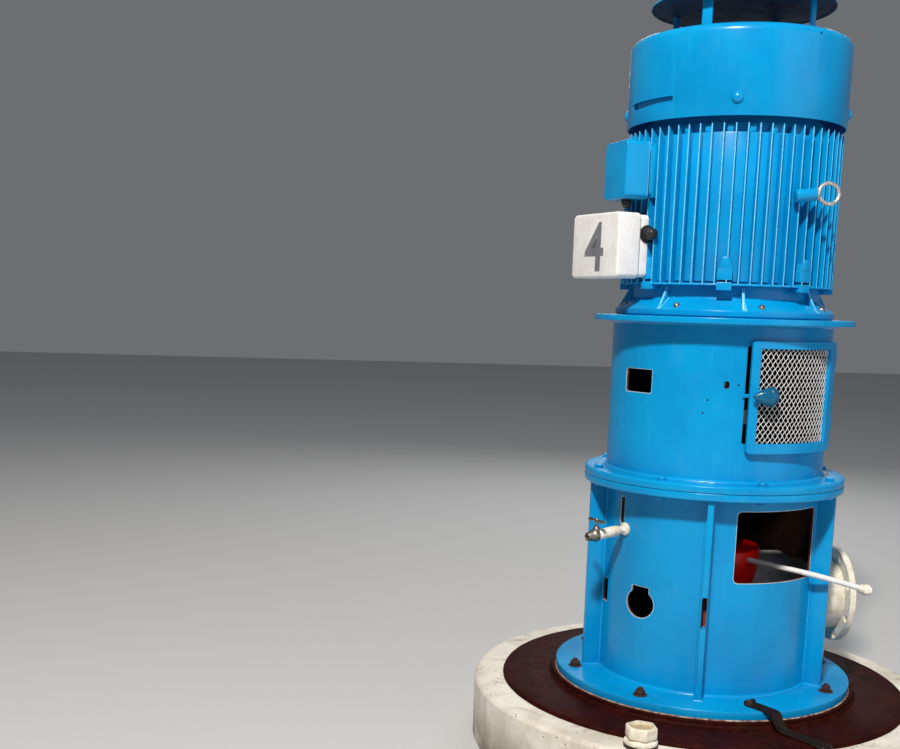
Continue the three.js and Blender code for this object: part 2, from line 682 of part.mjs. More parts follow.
// The small pipe leaves the housing's side and comes out over the window's sill.
function addSmallPipe() {
  const radius = 10.5;
  const route = [
    place(-57, HOUSING_RADIUS + 3, 767),
    place(-51, 300, 759),
    place(-46.5, 404, 749),
    place(-41, 500, 729),
    place(-37, 598, 705),
  ];
  const pipe = new THREE.ExtrudeGeometry(new THREE.Shape().absarc(0, 0, radius, 0, 2 * Math.PI, false), {
    steps: 10,
    curveSegments: 4,
    bevelEnabled: false,
    extrudePath: new THREE.CatmullRomCurve3(route),
  });
  add("leak_off_pipe", pipe, white);
  const end = route.at(-1);
  const way = end.clone().sub(route.at(-2)).normalize();
  const start = end.clone().addScaledVector(way, 0.6);
  add("leak_off_union", rod(start, start.clone().addScaledVector(way, 38), 17, 6), steel);
}

function addDrainCock() {
  const height = 882;
  const root = BARREL_RADIUS + GAP;
  const group = new THREE.Group();
  group.rotation.z = rad(-156);
  group.position.z = height;
  const along = (from, to, r, sides) => solid(rod(new THREE.Vector3(from, 0, 0), new THREE.Vector3(to, 0, 0), r, sides));
  add("drain_nipple", along(root, root + 14, 19, 20).add(along(root + 10, root + 96, 12, 16)), cream, group);
  const body = along(root + 96 + GAP, root + 176, 19, 20)
    .add(along(root + 96 + GAP, root + 112, 24, 6))
    .add(along(root + 162, root + 178, 24, 6))
    .add(solid(rod(new THREE.Vector3(root + 136, 0, 0), new THREE.Vector3(root + 136, 0, 34), 13, 16)));
  add("drain_cock", body, steel, group);
  const stem = solid(rod(new THREE.Vector3(root + 136, 0, 34 + GAP), new THREE.Vector3(root + 136, 0, 52), 6, 12)).add(
    solid(new THREE.BoxGeometry(14, 92, 9).translate(root + 136, 0, 54)),
  );
  add("drain_cock_handle", stem, steel, group);
  pump.add(group);
}

addPlinth();
addEarthStrap();
addLowerBarrel();
addRibs();
addMidBarrel();
addDoor();
addEndShield();
addMotorFrame();
addFanCover();
addRainHood();
addLiftingEyes();
addMainBox();
addAuxBox();
addDischarge();
addInnerWorks();
addSmallPipe();
addDrainCock();

export default pump;
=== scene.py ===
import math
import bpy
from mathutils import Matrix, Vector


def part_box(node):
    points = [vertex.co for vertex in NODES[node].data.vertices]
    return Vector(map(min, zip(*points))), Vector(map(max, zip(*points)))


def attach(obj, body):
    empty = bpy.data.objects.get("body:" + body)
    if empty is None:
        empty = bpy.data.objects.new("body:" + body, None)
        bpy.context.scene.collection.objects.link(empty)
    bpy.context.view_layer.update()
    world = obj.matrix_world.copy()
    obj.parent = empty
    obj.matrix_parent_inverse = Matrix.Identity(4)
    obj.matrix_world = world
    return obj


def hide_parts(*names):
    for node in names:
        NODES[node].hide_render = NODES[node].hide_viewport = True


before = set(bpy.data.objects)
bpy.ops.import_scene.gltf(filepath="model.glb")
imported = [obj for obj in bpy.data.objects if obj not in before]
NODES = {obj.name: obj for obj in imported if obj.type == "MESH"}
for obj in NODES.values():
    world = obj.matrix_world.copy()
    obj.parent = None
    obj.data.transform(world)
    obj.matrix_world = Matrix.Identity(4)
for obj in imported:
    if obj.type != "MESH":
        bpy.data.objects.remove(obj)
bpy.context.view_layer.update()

# %% [markdown]
# A vertical turbine pump seen above ground: a finned motor on a round, flanged steel stand, on a
# round concrete plinth. Most of them are made again here with finer, softer edges, and each new
# piece stays where its solid is. First come the few tools that every later cell uses. Lengths are
# in mm and bearings in degrees from +X, unless a line says so.

# %% Libraries, units and the object's box
from types import SimpleNamespace as Sizes

import bpy
from mathutils import Matrix, Vector

MM = 0.001

# %% [markdown]
# The camera is placed first, because everything is judged through it. It stands where the pump was
# looked at from: 4.6 m from the axis, at eye height above the plinth's foot, turned a little to the
# left and down. The picture is the upper part of a taller view, so the lens is shifted up.

# %% Camera
CAMERA = Sizes(bearing=-108.723, away=4601, height=1688.5, left=13.371, down=9.125, roll=1.711)
FOCAL_PIXELS = 1164.5
PICTURE_WIDTH = 900
SENSOR_WIDTH = 36
VIEW_MIDDLE = (436.7, 491.5)
PICTURE_MIDDLE = (450, 374.5)


def at(bearing, radius, height):
    """A point given by its bearing, its distance from the axis and its height."""
    angle = math.radians(bearing)
    return Vector((radius * math.cos(angle), radius * math.sin(angle), height)) * MM


def make_camera():
    bpy.ops.object.camera_add()
    camera = bpy.context.object
    camera.name = "camera"
    heading = math.radians(CAMERA.bearing + 180 + CAMERA.left)
    tip, roll = math.radians(CAMERA.down), math.radians(CAMERA.roll)
    level_ahead = Vector((math.cos(heading), math.sin(heading), 0))
    ahead = level_ahead * math.cos(tip) - Vector((0, 0, math.sin(tip)))
    level_right = Vector((math.sin(heading), -math.cos(heading), 0))
    level_up = level_right.cross(ahead)
    right = math.cos(roll) * level_right + math.sin(roll) * level_up
    up = math.cos(roll) * level_up - math.sin(roll) * level_right
    turned_so = Matrix((right, up, -ahead)).transposed().to_4x4()
    camera.matrix_world = Matrix.Translation(at(CAMERA.bearing, CAMERA.away, CAMERA.height)) @ turned_so
    camera.data.sensor_width = SENSOR_WIDTH
    camera.data.lens = FOCAL_PIXELS * SENSOR_WIDTH / PICTURE_WIDTH
    camera.data.shift_x = (PICTURE_MIDDLE[0] - VIEW_MIDDLE[0]) / PICTURE_WIDTH
    camera.data.shift_y = (VIEW_MIDDLE[1] - PICTURE_MIDDLE[1]) / PICTURE_WIDTH
    bpy.context.scene.camera = camera
    return camera


print("camera lens in mm:", round(make_camera().data.lens, 2))

# %% [markdown]
# Every material is a small network of nodes. One class holds the network and adds to it: soft noise,
# ramps, blends of two colours, and bumps. Colours are the hex codes that people write down, turned
# into the linear values that Blender calculates with.

# %% Node and colour helpers
SRGB_KNEE = 0.04045


def linear(code):
    """A hex colour such as "0a8fd6" as linear red, green, blue and alpha."""
    channels = [int(code[i:i + 2], 16) / 255 for i in (0, 2, 4)]
    return [c / 12.92 if c <= SRGB_KNEE else ((c + 0.055) / 1.055) ** 2.4 for c in channels] + [1]


class Look:
    """A material's network. A value is a number, a hex colour or the output of another node."""

    def __init__(self, name, slot=None):
        self.material = bpy.data.materials.new(name)
        self.material.use_nodes = True
        self.shader = self.material.node_tree.nodes["Principled BSDF"]
        self.place = self.add("ShaderNodeTexCoord").outputs["Object"]

    def connect(self, socket, value):
        if isinstance(value, bpy.types.NodeSocket):
            self.material.node_tree.links.new(value, socket)
        else:
            socket.default_value = linear(value) if isinstance(value, str) else value

    def add(self, kind, inputs=None, **settings):
        made = self.material.node_tree.nodes.new(kind)
        for name, value in settings.items():
            setattr(made, name, value)
        for name, value in (inputs or {}).items():
            self.connect(made.inputs[name], value)
        return made

    def give(self, **values):
        """Sets or links inputs of the surface shader, such as Base_Color."""
        for name, value in values.items():
            self.connect(self.shader.inputs[name.replace("_", " ")], value)
        return self.material

    def noise(self, grain, detail=3, rough=0.5, stretch=(1, 1, 1)):
        """Soft random variation whose patches are about one grain across."""
        scaled = self.add("ShaderNodeMapping", {"Vector": self.place, "Scale": stretch}).outputs["Vector"]
        sizes = {"Vector": scaled, "Scale": 1 / (grain * MM), "Detail": detail, "Roughness": rough}
        return self.add("ShaderNodeTexNoise", sizes).outputs["Fac"]

    def spread(self, value, to_low, to_high, low=0.0, high=1.0, kind="LINEAR"):
        """Maps what runs from low to high onto another range."""
        ends = {"Value": value, "From Min": low, "From Max": high, "To Min": to_low, "To Max": to_high}
        return self.add("ShaderNodeMapRange", ends, interpolation_type=kind).outputs["Result"]

    def ramp(self, value, low, high):
        """0 below low, 1 above high."""
        return self.spread(value, 0.0, 1.0, low, high, "SMOOTHSTEP")

    def mix(self, share, first, second):
        return self.add("ShaderNodeMix", {"Factor": share, 6: first, 7: second}, data_type="RGBA").outputs[2]

    def combine(self, operation, first, second):
        return self.add("ShaderNodeMath", {0: first, 1: second}, operation=operation).outputs[0]

    def multiply(self, first, second):
        return self.combine("MULTIPLY", first, second)

    def height(self):
        """The height above the ground in metres."""
        return self.add("ShaderNodeSeparateXYZ", {"Vector": self.place}).outputs["Z"]

    def bump(self, height, depth, strength, under=None):
        inputs = {"Height": height, "Strength": strength, "Distance": depth * MM}
        if under is not None:
            inputs["Normal"] = under
        made = self.add("ShaderNodeBump", inputs).outputs["Normal"]
        self.give(Normal=made)
        return made


print("helpers ready")

# %% [markdown]
# The pump wears alkyd enamel, the gloss oil paint of machinery, put on with a brush over old coats.
# It gives the eye a deep, even blue, a sharp but slightly wavy shine, thin upright runs and a
# little dust. The runs are noise that is stretched upwards, so they follow gravity.

# %% Blue alkyd enamel
BLUE, BLUE_DEEP, BLUE_FADED = "0094cf", "0086c2", "129fd6"
DUST, RUST_DARK, RUST_LIGHT = "8f8a7c", "3a1c12", "7a4327"
ENAMEL_SHINE = 0.28
BRUSH, PEEL, RUN, PATCH, SPECK = 7, 5, 28, 260, 3.2
DUST_FILM, GLOSS_PATCH, RUST_PATCH = 120, 45, 12
RUST_FRINGE = (0.016, 0.009)


def make_enamel(name, dust_amount=0.1, rusty_below=None):
    """Blue enamel. Below a height it is stained and chipped by rust."""
    look = Look(name, "blue_paint")
    colour = look.mix(look.ramp(look.noise(PATCH, 4), 0.35, 0.7), BLUE, BLUE_DEEP)
    runs = look.noise(RUN, 2, stretch=(1, 1, 0.07))
    colour = look.mix(look.multiply(look.ramp(runs, 0.55, 0.8), 0.35), colour, BLUE_FADED)
    specks = look.noise(SPECK, 5, 0.7)
    film = look.multiply(look.ramp(look.noise(DUST_FILM, 5, 0.65), 0.5, 0.78), dust_amount)
    colour = look.mix(look.multiply(film, look.ramp(specks, 0.35, 0.7)), colour, DUST)
    gloss = look.spread(look.noise(GLOSS_PATCH, 4), 0.16, 0.34)
    if rusty_below is not None:
        low, high = (rusty_below * MM - fringe for fringe in RUST_FRINGE)
        edge = look.combine("SUBTRACT", look.height(), look.multiply(look.noise(RUST_PATCH, 4, 0.6), 0.012))
        near = look.spread(edge, 1, 0, low, high)
        colour = look.mix(near, colour, look.mix(look.ramp(specks, 0.35, 0.65), RUST_DARK, RUST_LIGHT))
        gloss = look.add("ShaderNodeMix", {0: near, 2: gloss, 3: 0.85}).outputs[0]
    wavy = look.bump(look.noise(BRUSH, 2, stretch=(1, 1, 0.12)), 0.5, 0.14)
    peel = look.bump(look.noise(PEEL, 2), 0.5, 0.22, under=wavy)
    look.bump(runs, 2.2, 0.28, under=peel)
    return look.give(Base_Color=colour, Roughness=gloss, IOR=1.5, Specular_IOR_Level=ENAMEL_SHINE)


ENAMEL = make_enamel("alkyd_enamel_blue")
ENAMEL_FOOT = make_enamel("alkyd_enamel_blue_rusting_edge", 0.2, rusty_below=280)
print("made", ENAMEL.name, "and", ENAMEL_FOOT.name)

# %% [markdown]
# Other paints are made by one function with their own colours, because they differ in hue, gloss
# and dirt rather than in kind: a base, what shows where it is worn, and the dirt on it. The bed's red
# oxide paint is matt, dusty and worn to rust. The white and cream ones are half gloss with a grey film.

# %% Other paints


def paint(name, slot, colours, gloss, dirt_amount, grain=60, wave=0.5, shine=0.4):
    base, worn, dirt = colours.split()
    look = Look(name, slot)
    colour = look.mix(look.ramp(look.noise(grain, 5, 0.6), 0.35, 0.68), base, worn)
    film = look.ramp(look.noise(grain * 0.45, 6, 0.7), 0.46, 0.72)
    colour = look.mix(look.multiply(film, dirt_amount), colour, dirt)
    look.bump(look.noise(6, 4, 0.6), wave, 0.3)
    rough = look.spread(film, gloss, min(gloss + 0.3, 0.95))
    return look.give(Base_Color=colour, Roughness=rough, Specular_IOR_Level=shine)


RED_OXIDE = paint("red_oxide_paint_worn", "maroon_paint", "240806 310c09 432619", 0.55, 0.35, 90, 1.2, 0.04)
WHITE_ENAMEL = paint("alkyd_enamel_white", "white_paint", "e6e6e6 dcdbd8 a9a69e", 0.34, 0.25)
CREAM_PAINT = paint("weathered_cream_paint", "cream_paint", "ece6d6 d8cfba 85735c", 0.42, 0.45, 40)
OLD_BEIGE = paint("old_beige_paint", "cream_paint", "c6b48e a8936b 5d4c37", 0.6, 0.5, 16)
HOUSING_RED = paint("alkyd_enamel_red", "red_paint", "f0120c d20e0a 6a1a14", 0.3, 0.25, 45, shine=0.2)
PRIMER_GREY = paint("primer_grey_cast_iron", "grey_iron", "bfc3c3 a2a6a6 4c453c", 0.5, 0.35, 40, 1.4)
NUMERAL_GREY = paint("stencilled_grey_paint", "white_paint", "75757d 6a6a72 8d8d90", 0.5, 0.3, 30, 0.2)
# Near black painted shade for the barrels' insides, the housing's top and the gland nuts.
PAINTED_SHADE_DARK = paint("painted_shade_dark_brown", "red_paint", "140c09 20120c 2f1b12", 0.8, 0.6, 50, 0.8, 0.1)
CUT_EDGE = paint("flame_cut_edge_rusting", "rusty_steel", "6b2f1e 45190f a07a5c", 0.7, 0.4, 12, 1.2, 0.15)
# Pale blue painted highlight on the rim of each cut edge.
RIM_HIGHLIGHT_PAINT = paint("painted_highlight_on_cut_rim", "blue_paint", "9acbe4 d6e0e0 7a4a34", 0.45, 0.3, 14, 0.8)
SLOT_PRIMER = paint("red_primer_in_slot", "red_paint", "8a3322 5c1d14 b08468", 0.7, 0.3, 18, 0.8, 0.15)
GROUT_LINE = paint("rust_and_old_paint_line", "rusty_steel", "6b3423 b9a58c e2d8c6", 0.8, 0.35, 22, 2, 0.15)
# The knob wears the pump's blue, painted darker teal as the dark reflection and shade on its gloss.
KNOB_PAINTED_REFLECTION = paint("knob_enamel_painted_dark_reflection", "blue_paint", "0b5f86 0a4c6c 072c40", 0.14, 0.5, 30, 0.2)
# Pale blue enamel that paints a highlight on fin tips, gusset slopes and the aux lid's seam.
PAINTED_HIGHLIGHT_ENAMEL = paint("enamel_with_painted_highlight", "blue_paint", "5fc0ea 3fb0e2 d8e4e6", 0.25, 0.4, 9, 0.4)
# Dark blue painted shade for the underside of the rain hood.
HOOD_SHADE = paint("painted_shade_under_hood", "blue_paint", "06304f 0a2237 1d1b19", 0.6, 0.4)
print("paints made")

# %% [markdown]
# Concrete is cement, sand and small stone. It shows a warm grey with fine specks, small blow holes
# from the form, and stains where rusty water ran off the painted bed above. It grows darker in patches
# towards its foot. Sand grains are 1 to 3 mm, and blow holes lie about 26 mm apart.

# %% Concrete
SAND, BLOW_HOLES, DARKENING_TOP = 3, 26, 170
TONE, STREAK, DARKENING_GRAIN, DENT = 180, 70, 110, 60


def make_concrete():
    look = Look("cast_concrete", "concrete")
    tone = look.mix(look.ramp(look.noise(TONE, 6, 0.6), 0.35, 0.7), "e9e5d9", "cbc4b3")
    sand = look.noise(SAND, 4, 0.7)
    tone = look.mix(look.multiply(look.ramp(sand, 0.42, 0.7), 0.45), tone, "8b8374")
    streaks = look.ramp(look.noise(STREAK, 5, 0.65, stretch=(1, 1, 0.12)), 0.52, 0.74)
    tone = look.mix(look.multiply(streaks, 0.5), tone, "7d5a42")
    # Darker in patches towards the foot of the plinth.
    foot_darkening = look.spread(look.height(), 0.75, 0.0, 0.0, DARKENING_TOP * MM)
    tone = look.mix(look.multiply(foot_darkening, look.ramp(look.noise(DARKENING_GRAIN, 5), 0.25, 0.6)), tone, "5c4a33")
    holes = look.add("ShaderNodeTexVoronoi", {"Vector": look.place, "Scale": 1 / (BLOW_HOLES * MM)})
    # The blow holes are painted darker, as shade in the hollows.
    pits = look.ramp(holes.outputs["Distance"], 0.05, 0.16)
    grit = look.bump(sand, 1.0, 0.5)
    look.bump(look.noise(DENT, 4), 6, 0.35, under=look.bump(pits, 3.0, 0.6, under=grit))
    return look.give(Base_Color=look.mix(pits, "5e574b", tone), Roughness=0.92)


CONCRETE = make_concrete()
print("made", CONCRETE.name)

# %% [markdown]
# Bare metals: hot-dip zinc on the screen and lifting eyes, dull steel on the drain cock, and rusted
# steel on the anchor nuts and earth strap. Zinc keeps a metal's shine with pale patches; rust is no
# metal to the eye, only a rough brown crust. The glands and gaskets are black nylon.

# %% Metals and nylon


def metal(name, slot, bright, dull, grain, rough_low, rough_high, metallic):
    look = Look(name, slot)
    patches = look.noise(grain, 4, 0.6)
    look.bump(look.noise(grain * 0.3, 4, 0.65), 0.6, 0.3)
    colour = look.mix(look.ramp(patches, 0.38, 0.66), bright, dull)
    rough = look.spread(patches, rough_low, rough_high)
    return look.give(Base_Color=colour, Metallic=metallic, Roughness=rough)


def make_nylon():
    look = Look("moulded_black_nylon", "black_plastic")
    fine = look.noise(1.5, 3)
    look.bump(fine, 0.2, 0.3)
    return look.give(Base_Color=look.mix(look.ramp(fine, 0.3, 0.7), "141415", "232325"), Roughness=0.42)


ZINC = metal("hot_dip_zinc", "galvanised", "d3d1cc", "98958f", 9, 0.3, 0.5, 0.7)
SCREEN_ZINC = metal("zinc_coated_expanded_steel", "galvanised", "f4f4f4", "d6d4d0", 14, 0.4, 0.6, 0.2)
DULL_STEEL = metal("dull_machined_steel", "bare_steel", "a69e92", "6d655b", 12, 0.34, 0.55, 1.0)
RUST = metal("rusted_steel", "rusty_steel", "4a2a1c", "1f120d", 6, 0.6, 0.9, 0.1)
STRAP_STEEL = metal("oily_rusted_braid", "rusty_steel", "2a1a11", "0e0805", 8, 0.3, 0.65, 0.4)
BLACK_NYLON = make_nylon()
print("metals and nylon made")

# %% [markdown]
# New pieces are drawn the way a drawing is: one vertex is put down and pushed on from point to point.
# A closed outline is then spun about the axis, or pushed out flat. Sizes are read from the solids
# where they can be.

# %% Drawing and turning
WELD_DISTANCE = 0.00002
SMOOTH_BELOW = 35


def levels(node):
    """The heights of a solid's underside and top."""
    low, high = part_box(node)
    return low.z / MM, high.z / MM


def reach(node):
    """The outer radius of a round solid."""
    low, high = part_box(node)
    return max(high.x, -low.x, high.y, -low.y) / MM


def pick(obj):
    bpy.ops.object.select_all(action="DESELECT")
    obj.select_set(True)
    bpy.context.view_layer.objects.active = obj


def edit(obj):
    """Opens a piece for editing with all of it selected."""
    pick(obj)
    bpy.ops.object.mode_set(mode="EDIT")
    bpy.ops.mesh.select_all(action="SELECT")


def leave():
    bpy.ops.object.mode_set(mode="OBJECT")


def merge_all():
    bpy.ops.mesh.select_all(action="SELECT")
    bpy.ops.mesh.remove_doubles(threshold=WELD_DISTANCE)
    bpy.ops.mesh.select_all(action="SELECT")


def close_up():
    merge_all()
    bpy.ops.mesh.normals_make_consistent(inside=False)
    leave()


def push(x=0, y=0, z=0):
    """Extrudes what is selected."""
    bpy.ops.mesh.extrude_region_move(TRANSFORM_OT_translate={"value": (x * MM, y * MM, z * MM)})


def spin(steps, sweep, **settings):
    """Turns what is selected about the pump's axis, anticlockwise from above."""
    bpy.ops.mesh.spin(steps=steps, angle=math.radians(sweep), center=(0, 0, 0), axis=(0, 0, -1), **settings)


def primitive(add, name, **settings):
    bpy.ops.object.select_all(action="DESELECT")
    add(**settings)
    made = bpy.context.object
    made.name = made.data.name = name
    return made


def draw(name, points):
    """A new object in edit mode that holds one line through the points."""
    made = primitive(bpy.ops.mesh.primitive_plane_add, name, size=MM)
    edit(made)
    bpy.ops.mesh.merge(type="CENTER")
    bpy.ops.transform.translate(value=points[0])
    for here, there in zip(points, points[1:]):
        bpy.ops.mesh.extrude_region_move(TRANSFORM_OT_translate={"value": there - here})
    merge_all()
    return made


def turned(name, profile, steps, start=0, sweep=360):
    """A solid of revolution from (radius, height) pairs. It closes where the profile leaves the axis."""
    points = [at(start, r, z) for r, z in profile]
    if profile[0][0] or profile[-1][0]:
        points.append(points[0])
    made = draw(name, points)
    spin(steps, sweep)
    merge_all()
    if sweep < 360:
        bpy.ops.mesh.fill_holes(sides=0)
    close_up()
    return made


def band(inner, outer, low, high):
    return [(inner, low), (outer, low), (outer, high), (inner, high)]


def disc(name, radius, low, high, steps):
    return turned(name, band(0, radius, low, high), steps)


def sector(name, inner, outer, start, end, low, high, steps):
    return turned(name, band(inner, outer, low, high), steps, start, end - start)


def flat_face(name, points, corner=0, segments=6):
    """A face in edit mode, with rounded corners where corner isn't 0."""
    made = draw(name, points + points[:1])
    bpy.ops.mesh.edge_face_add()
    if corner:
        bpy.ops.mesh.bevel(offset=corner * MM, segments=segments, affect="VERTICES")
    bpy.ops.mesh.select_all(action="SELECT")
    return made


def plate(name, width, height, depth, corner=0, segments=6):
    """A slab that looks along +X with its back at the origin."""
    y, z = width / 2 * MM, height / 2 * MM
    corners = [Vector((0, *corner)) for corner in ((-y, -z), (y, -z), (y, z), (-y, z))]
    made = flat_face(name, corners, corner, segments)
    push(depth)
    close_up()
    return made


def web(name, outline, thick):
    """A flat plate that stands out along +X. The outline holds (radius, height) pairs."""
    half = Vector((0, thick / 2 * MM, 0))
    made = flat_face(name, [at(0, r, z) - half for r, z in outline])
    push(y=thick)
    close_up()
    return made


print("drawing helpers ready")

# %% [markdown]
# A piece is then put in its place, cut or joined, eased at its edges and finished. Real edges are
# never razor sharp: even 1 mm of rounding catches a line of light, and that line is much of what
# makes a picture of metal believable.

# %% Placing, cutting and finishing


def apply_place(obj):
    pick(obj)
    bpy.ops.object.transform_apply(location=True, rotation=True, scale=True)
    return obj


def turn(obj, x=0, y=0, z=0):
    obj.rotation_euler = [math.radians(v) for v in (x, y, z)]
    return apply_place(obj)


def shift(obj, x=0, y=0, z=0):
    obj.location = Vector((x, y, z)) * MM
    return apply_place(obj)


def set_out(obj, bearing, radius, height, facing=None):
    """Turns what was made along +X to its bearing and moves it out."""
    turn(obj, z=bearing if facing is None else facing)
    obj.location = at(bearing, radius, height)
    return apply_place(obj)


def point_out(obj, bearing, radius, height, rise=0):
    """Lays what was made upright along the outward direction."""
    turn(obj, y=90 - rise)
    return set_out(obj, bearing, radius, height)


def modify(obj, kind, **settings):
    pick(obj)
    modifier = obj.modifiers.new("change", kind)
    for name, value in settings.items():
        setattr(modifier, name, value)
    bpy.ops.object.modifier_apply(modifier=modifier.name)
    return obj


def cut(obj, *tools, operation="DIFFERENCE"):
    for tool in tools:
        modify(obj, "BOOLEAN", operation=operation, solver="EXACT", object=tool)
        bpy.data.objects.remove(tool)
    return obj


def soften(obj, width, segments=2, limit=35):
    """Rounds every edge that turns more than the limit."""
    sizes = {"width": width * MM, "segments": segments, "angle_limit": math.radians(limit)}
    return modify(obj, "BEVEL", limit_method="ANGLE", **sizes)


def join(first, *others):
    pick(first)
    for obj in others:
        obj.select_set(True)
    if others:
        bpy.ops.object.join()
    return first


def ring_of(obj, count, sweep=360):
    """Repeats a finished shape about the pump's axis. All copies are one mesh."""
    edit(obj)
    spin(count - 1, sweep * (count - 1) / count, dupli=True)
    leave()
    return obj


def roughen(obj, offset, seed=0):
    """Moves each vertex by up to the offset, as hand work does."""
    edit(obj)
    bpy.ops.transform.vertex_random(offset=offset * MM, seed=seed)
    leave()
    return obj


def finish(obj, coats, *nodes, body="pump", smooth=SMOOTH_BELOW, rule=None):
    """Coats a piece, lets it move with its body and hides the solids that it stands for.

    Where there are more coats than one, the rule picks a coat's number for each face.
    """
    coats = coats if isinstance(coats, list) else [coats]
    apply_place(obj)
    obj.data.materials.clear()
    for coat in coats:
        obj.data.materials.append(coat)
    bpy.ops.object.shade_smooth_by_angle(angle=math.radians(smooth))
    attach(obj, body)
    if nodes:
        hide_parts(*nodes)
    if rule:
        for face in obj.data.polygons:
            face.material_index = int(rule(face))
    return obj


print("finishing helpers ready")

# %% [markdown]
# Fasteners and welds come back all over the pump, so each has one function. A bolt is a washer, a
# six-sided head with eased corners and the end of its thread. A weld bead is a small convex fillet,
# pushed about by half a millimetre so that it looks laid by hand.

# %% Bolts and beads
BEAD_STEPS = 396
BEAD_BULGE = 0.62
RIPPLE = 7


def bolt(name, across, thick, washer=3, stud=0, lip=1.25):
    """A nut or bolt head on a surface at the origin, its axis along +Z."""
    corner = across / math.sqrt(3)
    prism = {"vertices": 6, "radius": corner * MM, "depth": thick * MM}
    middle = (0, 0, (washer + thick / 2) * MM)
    head = primitive(bpy.ops.mesh.primitive_cylinder_add, name, location=middle, **prism)
    soften(apply_place(head), across * 0.07, 3)
    parts = [soften(disc("washer", corner * lip, 0, washer, 32), 0.8)]
    if stud:
        top, end = washer + thick + stud, across * 0.3
        outline = [(0, washer), (end, washer), (end, top - 2), (end - 2, top), (0, top)]
        parts.append(turned("thread_end", outline, 24))
    return join(head, *parts)


def bolt_circle(name, count, bearing, radius, height, across, thick, down=False, **sizes):
    one = turn(bolt(name, across, thick, **sizes), x=180 if down else 0, z=bearing * 0.37)
    return ring_of(set_out(one, bearing, radius, height), count)


def ring_bead(name, radius, height, size, up=1):
    """A fillet in the corner between an upright wall and a flange."""
    bulge = BEAD_BULGE * size
    profile = [
        (radius - 1, height - up), (radius + size, height - up), (radius + size, height + up * 0.8),
        (radius + bulge, height + up * bulge),
        (radius + 0.8, height + up * size), (radius - 1, height + up * size),
    ]
    return roughen(turned(name, profile, BEAD_STEPS), size * 0.06, 3)


def straight_bead(name, length, size):
    """A bead that runs up from the origin."""
    steps = max(4, round(length / RIPPLE))
    side = [(size, i * length / steps + 0.001) for i in range(steps + 1)]
    return roughen(turned(name, [(0, 0), *side, (0, length + 0.002)], 10), size * 0.1, 5)


print("fasteners ready")

# %% [markdown]
# The foot comes first: a cast plinth, a bed of grout under red oxide paint and the sole plate. Each
# is turned from its own outline. The grout's edge was trowelled, so it leans and is a little uneven.

# %% Plinth, bed and sole plate
CHAMFER = 12
TROWEL_LEAN = 7
BED_SHOULDER = 90
ROUND_STEPS = 160


def make_foot():
    radius, (low, high) = reach("concrete_plinth"), levels("concrete_plinth")
    outline = [(0, low), (radius, low), (radius, high - CHAMFER), (radius - CHAMFER, high), (0, high)]
    plinth = soften(turned("cast_plinth", outline, ROUND_STEPS), 4, 3)
    finish(plinth, CONCRETE, "concrete_plinth")
    radius, (low, high) = reach("painted_grout"), levels("painted_grout")
    edge = [(radius, low), (radius - TROWEL_LEAN, high), (radius - BED_SHOULDER, high)]
    outline = [(0, low), *edge, (0, high)]
    bed = roughen(soften(turned("grout_bed", outline, ROUND_STEPS), 3, 2), 0.9, 2)
    finish(bed, RED_OXIDE, "painted_grout")
    radius, (low, high) = reach("sole_plate"), levels("sole_plate")
    sole = soften(disc("round_sole_plate", radius, low, high, ROUND_STEPS), 2.5, 3)
    finish(sole, RED_OXIDE, "sole_plate")
    finish(ring_bead("bed_sealant", radius, low, 9), RED_OXIDE)


make_foot()
print("foot made")

# %% [markdown]
# The base flange lies on the sole plate. Anchor nuts stand every 45 degrees round it, and where the
# eighth would be the earth strap is bolted down. They have rusted, because no paint stays on the
# corners of a nut that is turned with a wrench, so they get the brown crust.

# %% Base flange and anchor nuts
ANCHORS = Sizes(count=7, bearing=-42, circle=507, across=32, thick=17)


def make_base():
    radius, (low, high) = reach("base_flange"), levels("base_flange")
    flange = soften(disc("round_base_flange", radius, low, high, ROUND_STEPS), 3.5, 3)
    finish(flange, ENAMEL_FOOT, "base_flange")
    nut = turn(bolt("anchor_nuts", ANCHORS.across, ANCHORS.thick, washer=4, stud=9, lip=1.4), z=20)
    set_out(nut, ANCHORS.bearing, ANCHORS.circle, high)
    finish(ring_of(nut, ANCHORS.count, 45 * ANCHORS.count), RUST)
    finish(roughen(ring_bead("flange_edge_line", radius - 1, low, 4), 0.9, 8), GROUT_LINE, smooth=60)
    return high


BASE_TOP = make_base()
print("base top at", round(BASE_TOP), "mm")

# %% [markdown]
# The barrels are pipe, cut open for hands and eyes. Each opening is a slab or disc that is taken away
# with a Boolean, after a slightly larger one has cut a step 1 mm deep where the paint is chipped. The
# faces are then sorted by their distance from the axis: the outside is enamel, the inside is painted
# near black as shade, the cut edge between them shows rust, and its rim is painted pale as a highlight.

# %% Barrel and openings
BARREL_RADIUS = reach("mid_barrel")
BARREL_WALL = 10
BARREL_STEPS = 144
BARREL_INSIDE = BARREL_RADIUS - BARREL_WALL
CHIPPED = 2.3
CHIP_DEPTH = 1
CUTTER_FROM, CUTTER_DEPTH = 330, 150
WINDOW = {"bearing": -67.4, "width": 368, "height": 260, "bottom": 733, "corner": 16}
DOORWAY = {"bearing": -66.6, "width": 391, "height": 342, "bottom": 1236, "corner": 6}
HATCH = {"bearing": -153, "width": 134, "height": 84, "bottom": 1395, "corner": 8}
SIDE_HOLE = {"bearing": -174.8, "width": 46, "height": 88, "bottom": 577, "corner": 3}
VENT_SLOT = {"bearing": -159.5, "width": 20, "height": 100, "bottom": 900, "corner": 4.9}
OVAL_HOLE = {"bearing": -104.4, "width": 20, "height": 27, "bottom": 1427, "corner": 9.9}
KEYHOLE = {"bearing": -143.1, "radius": 54, "height": 616, "stretch": 1.13}
KEYHOLE_NOTCH = {"bearing": -143.1, "width": 76, "height": 64, "bottom": 616, "corner": 0}
PIN_RADIUS = 3.4
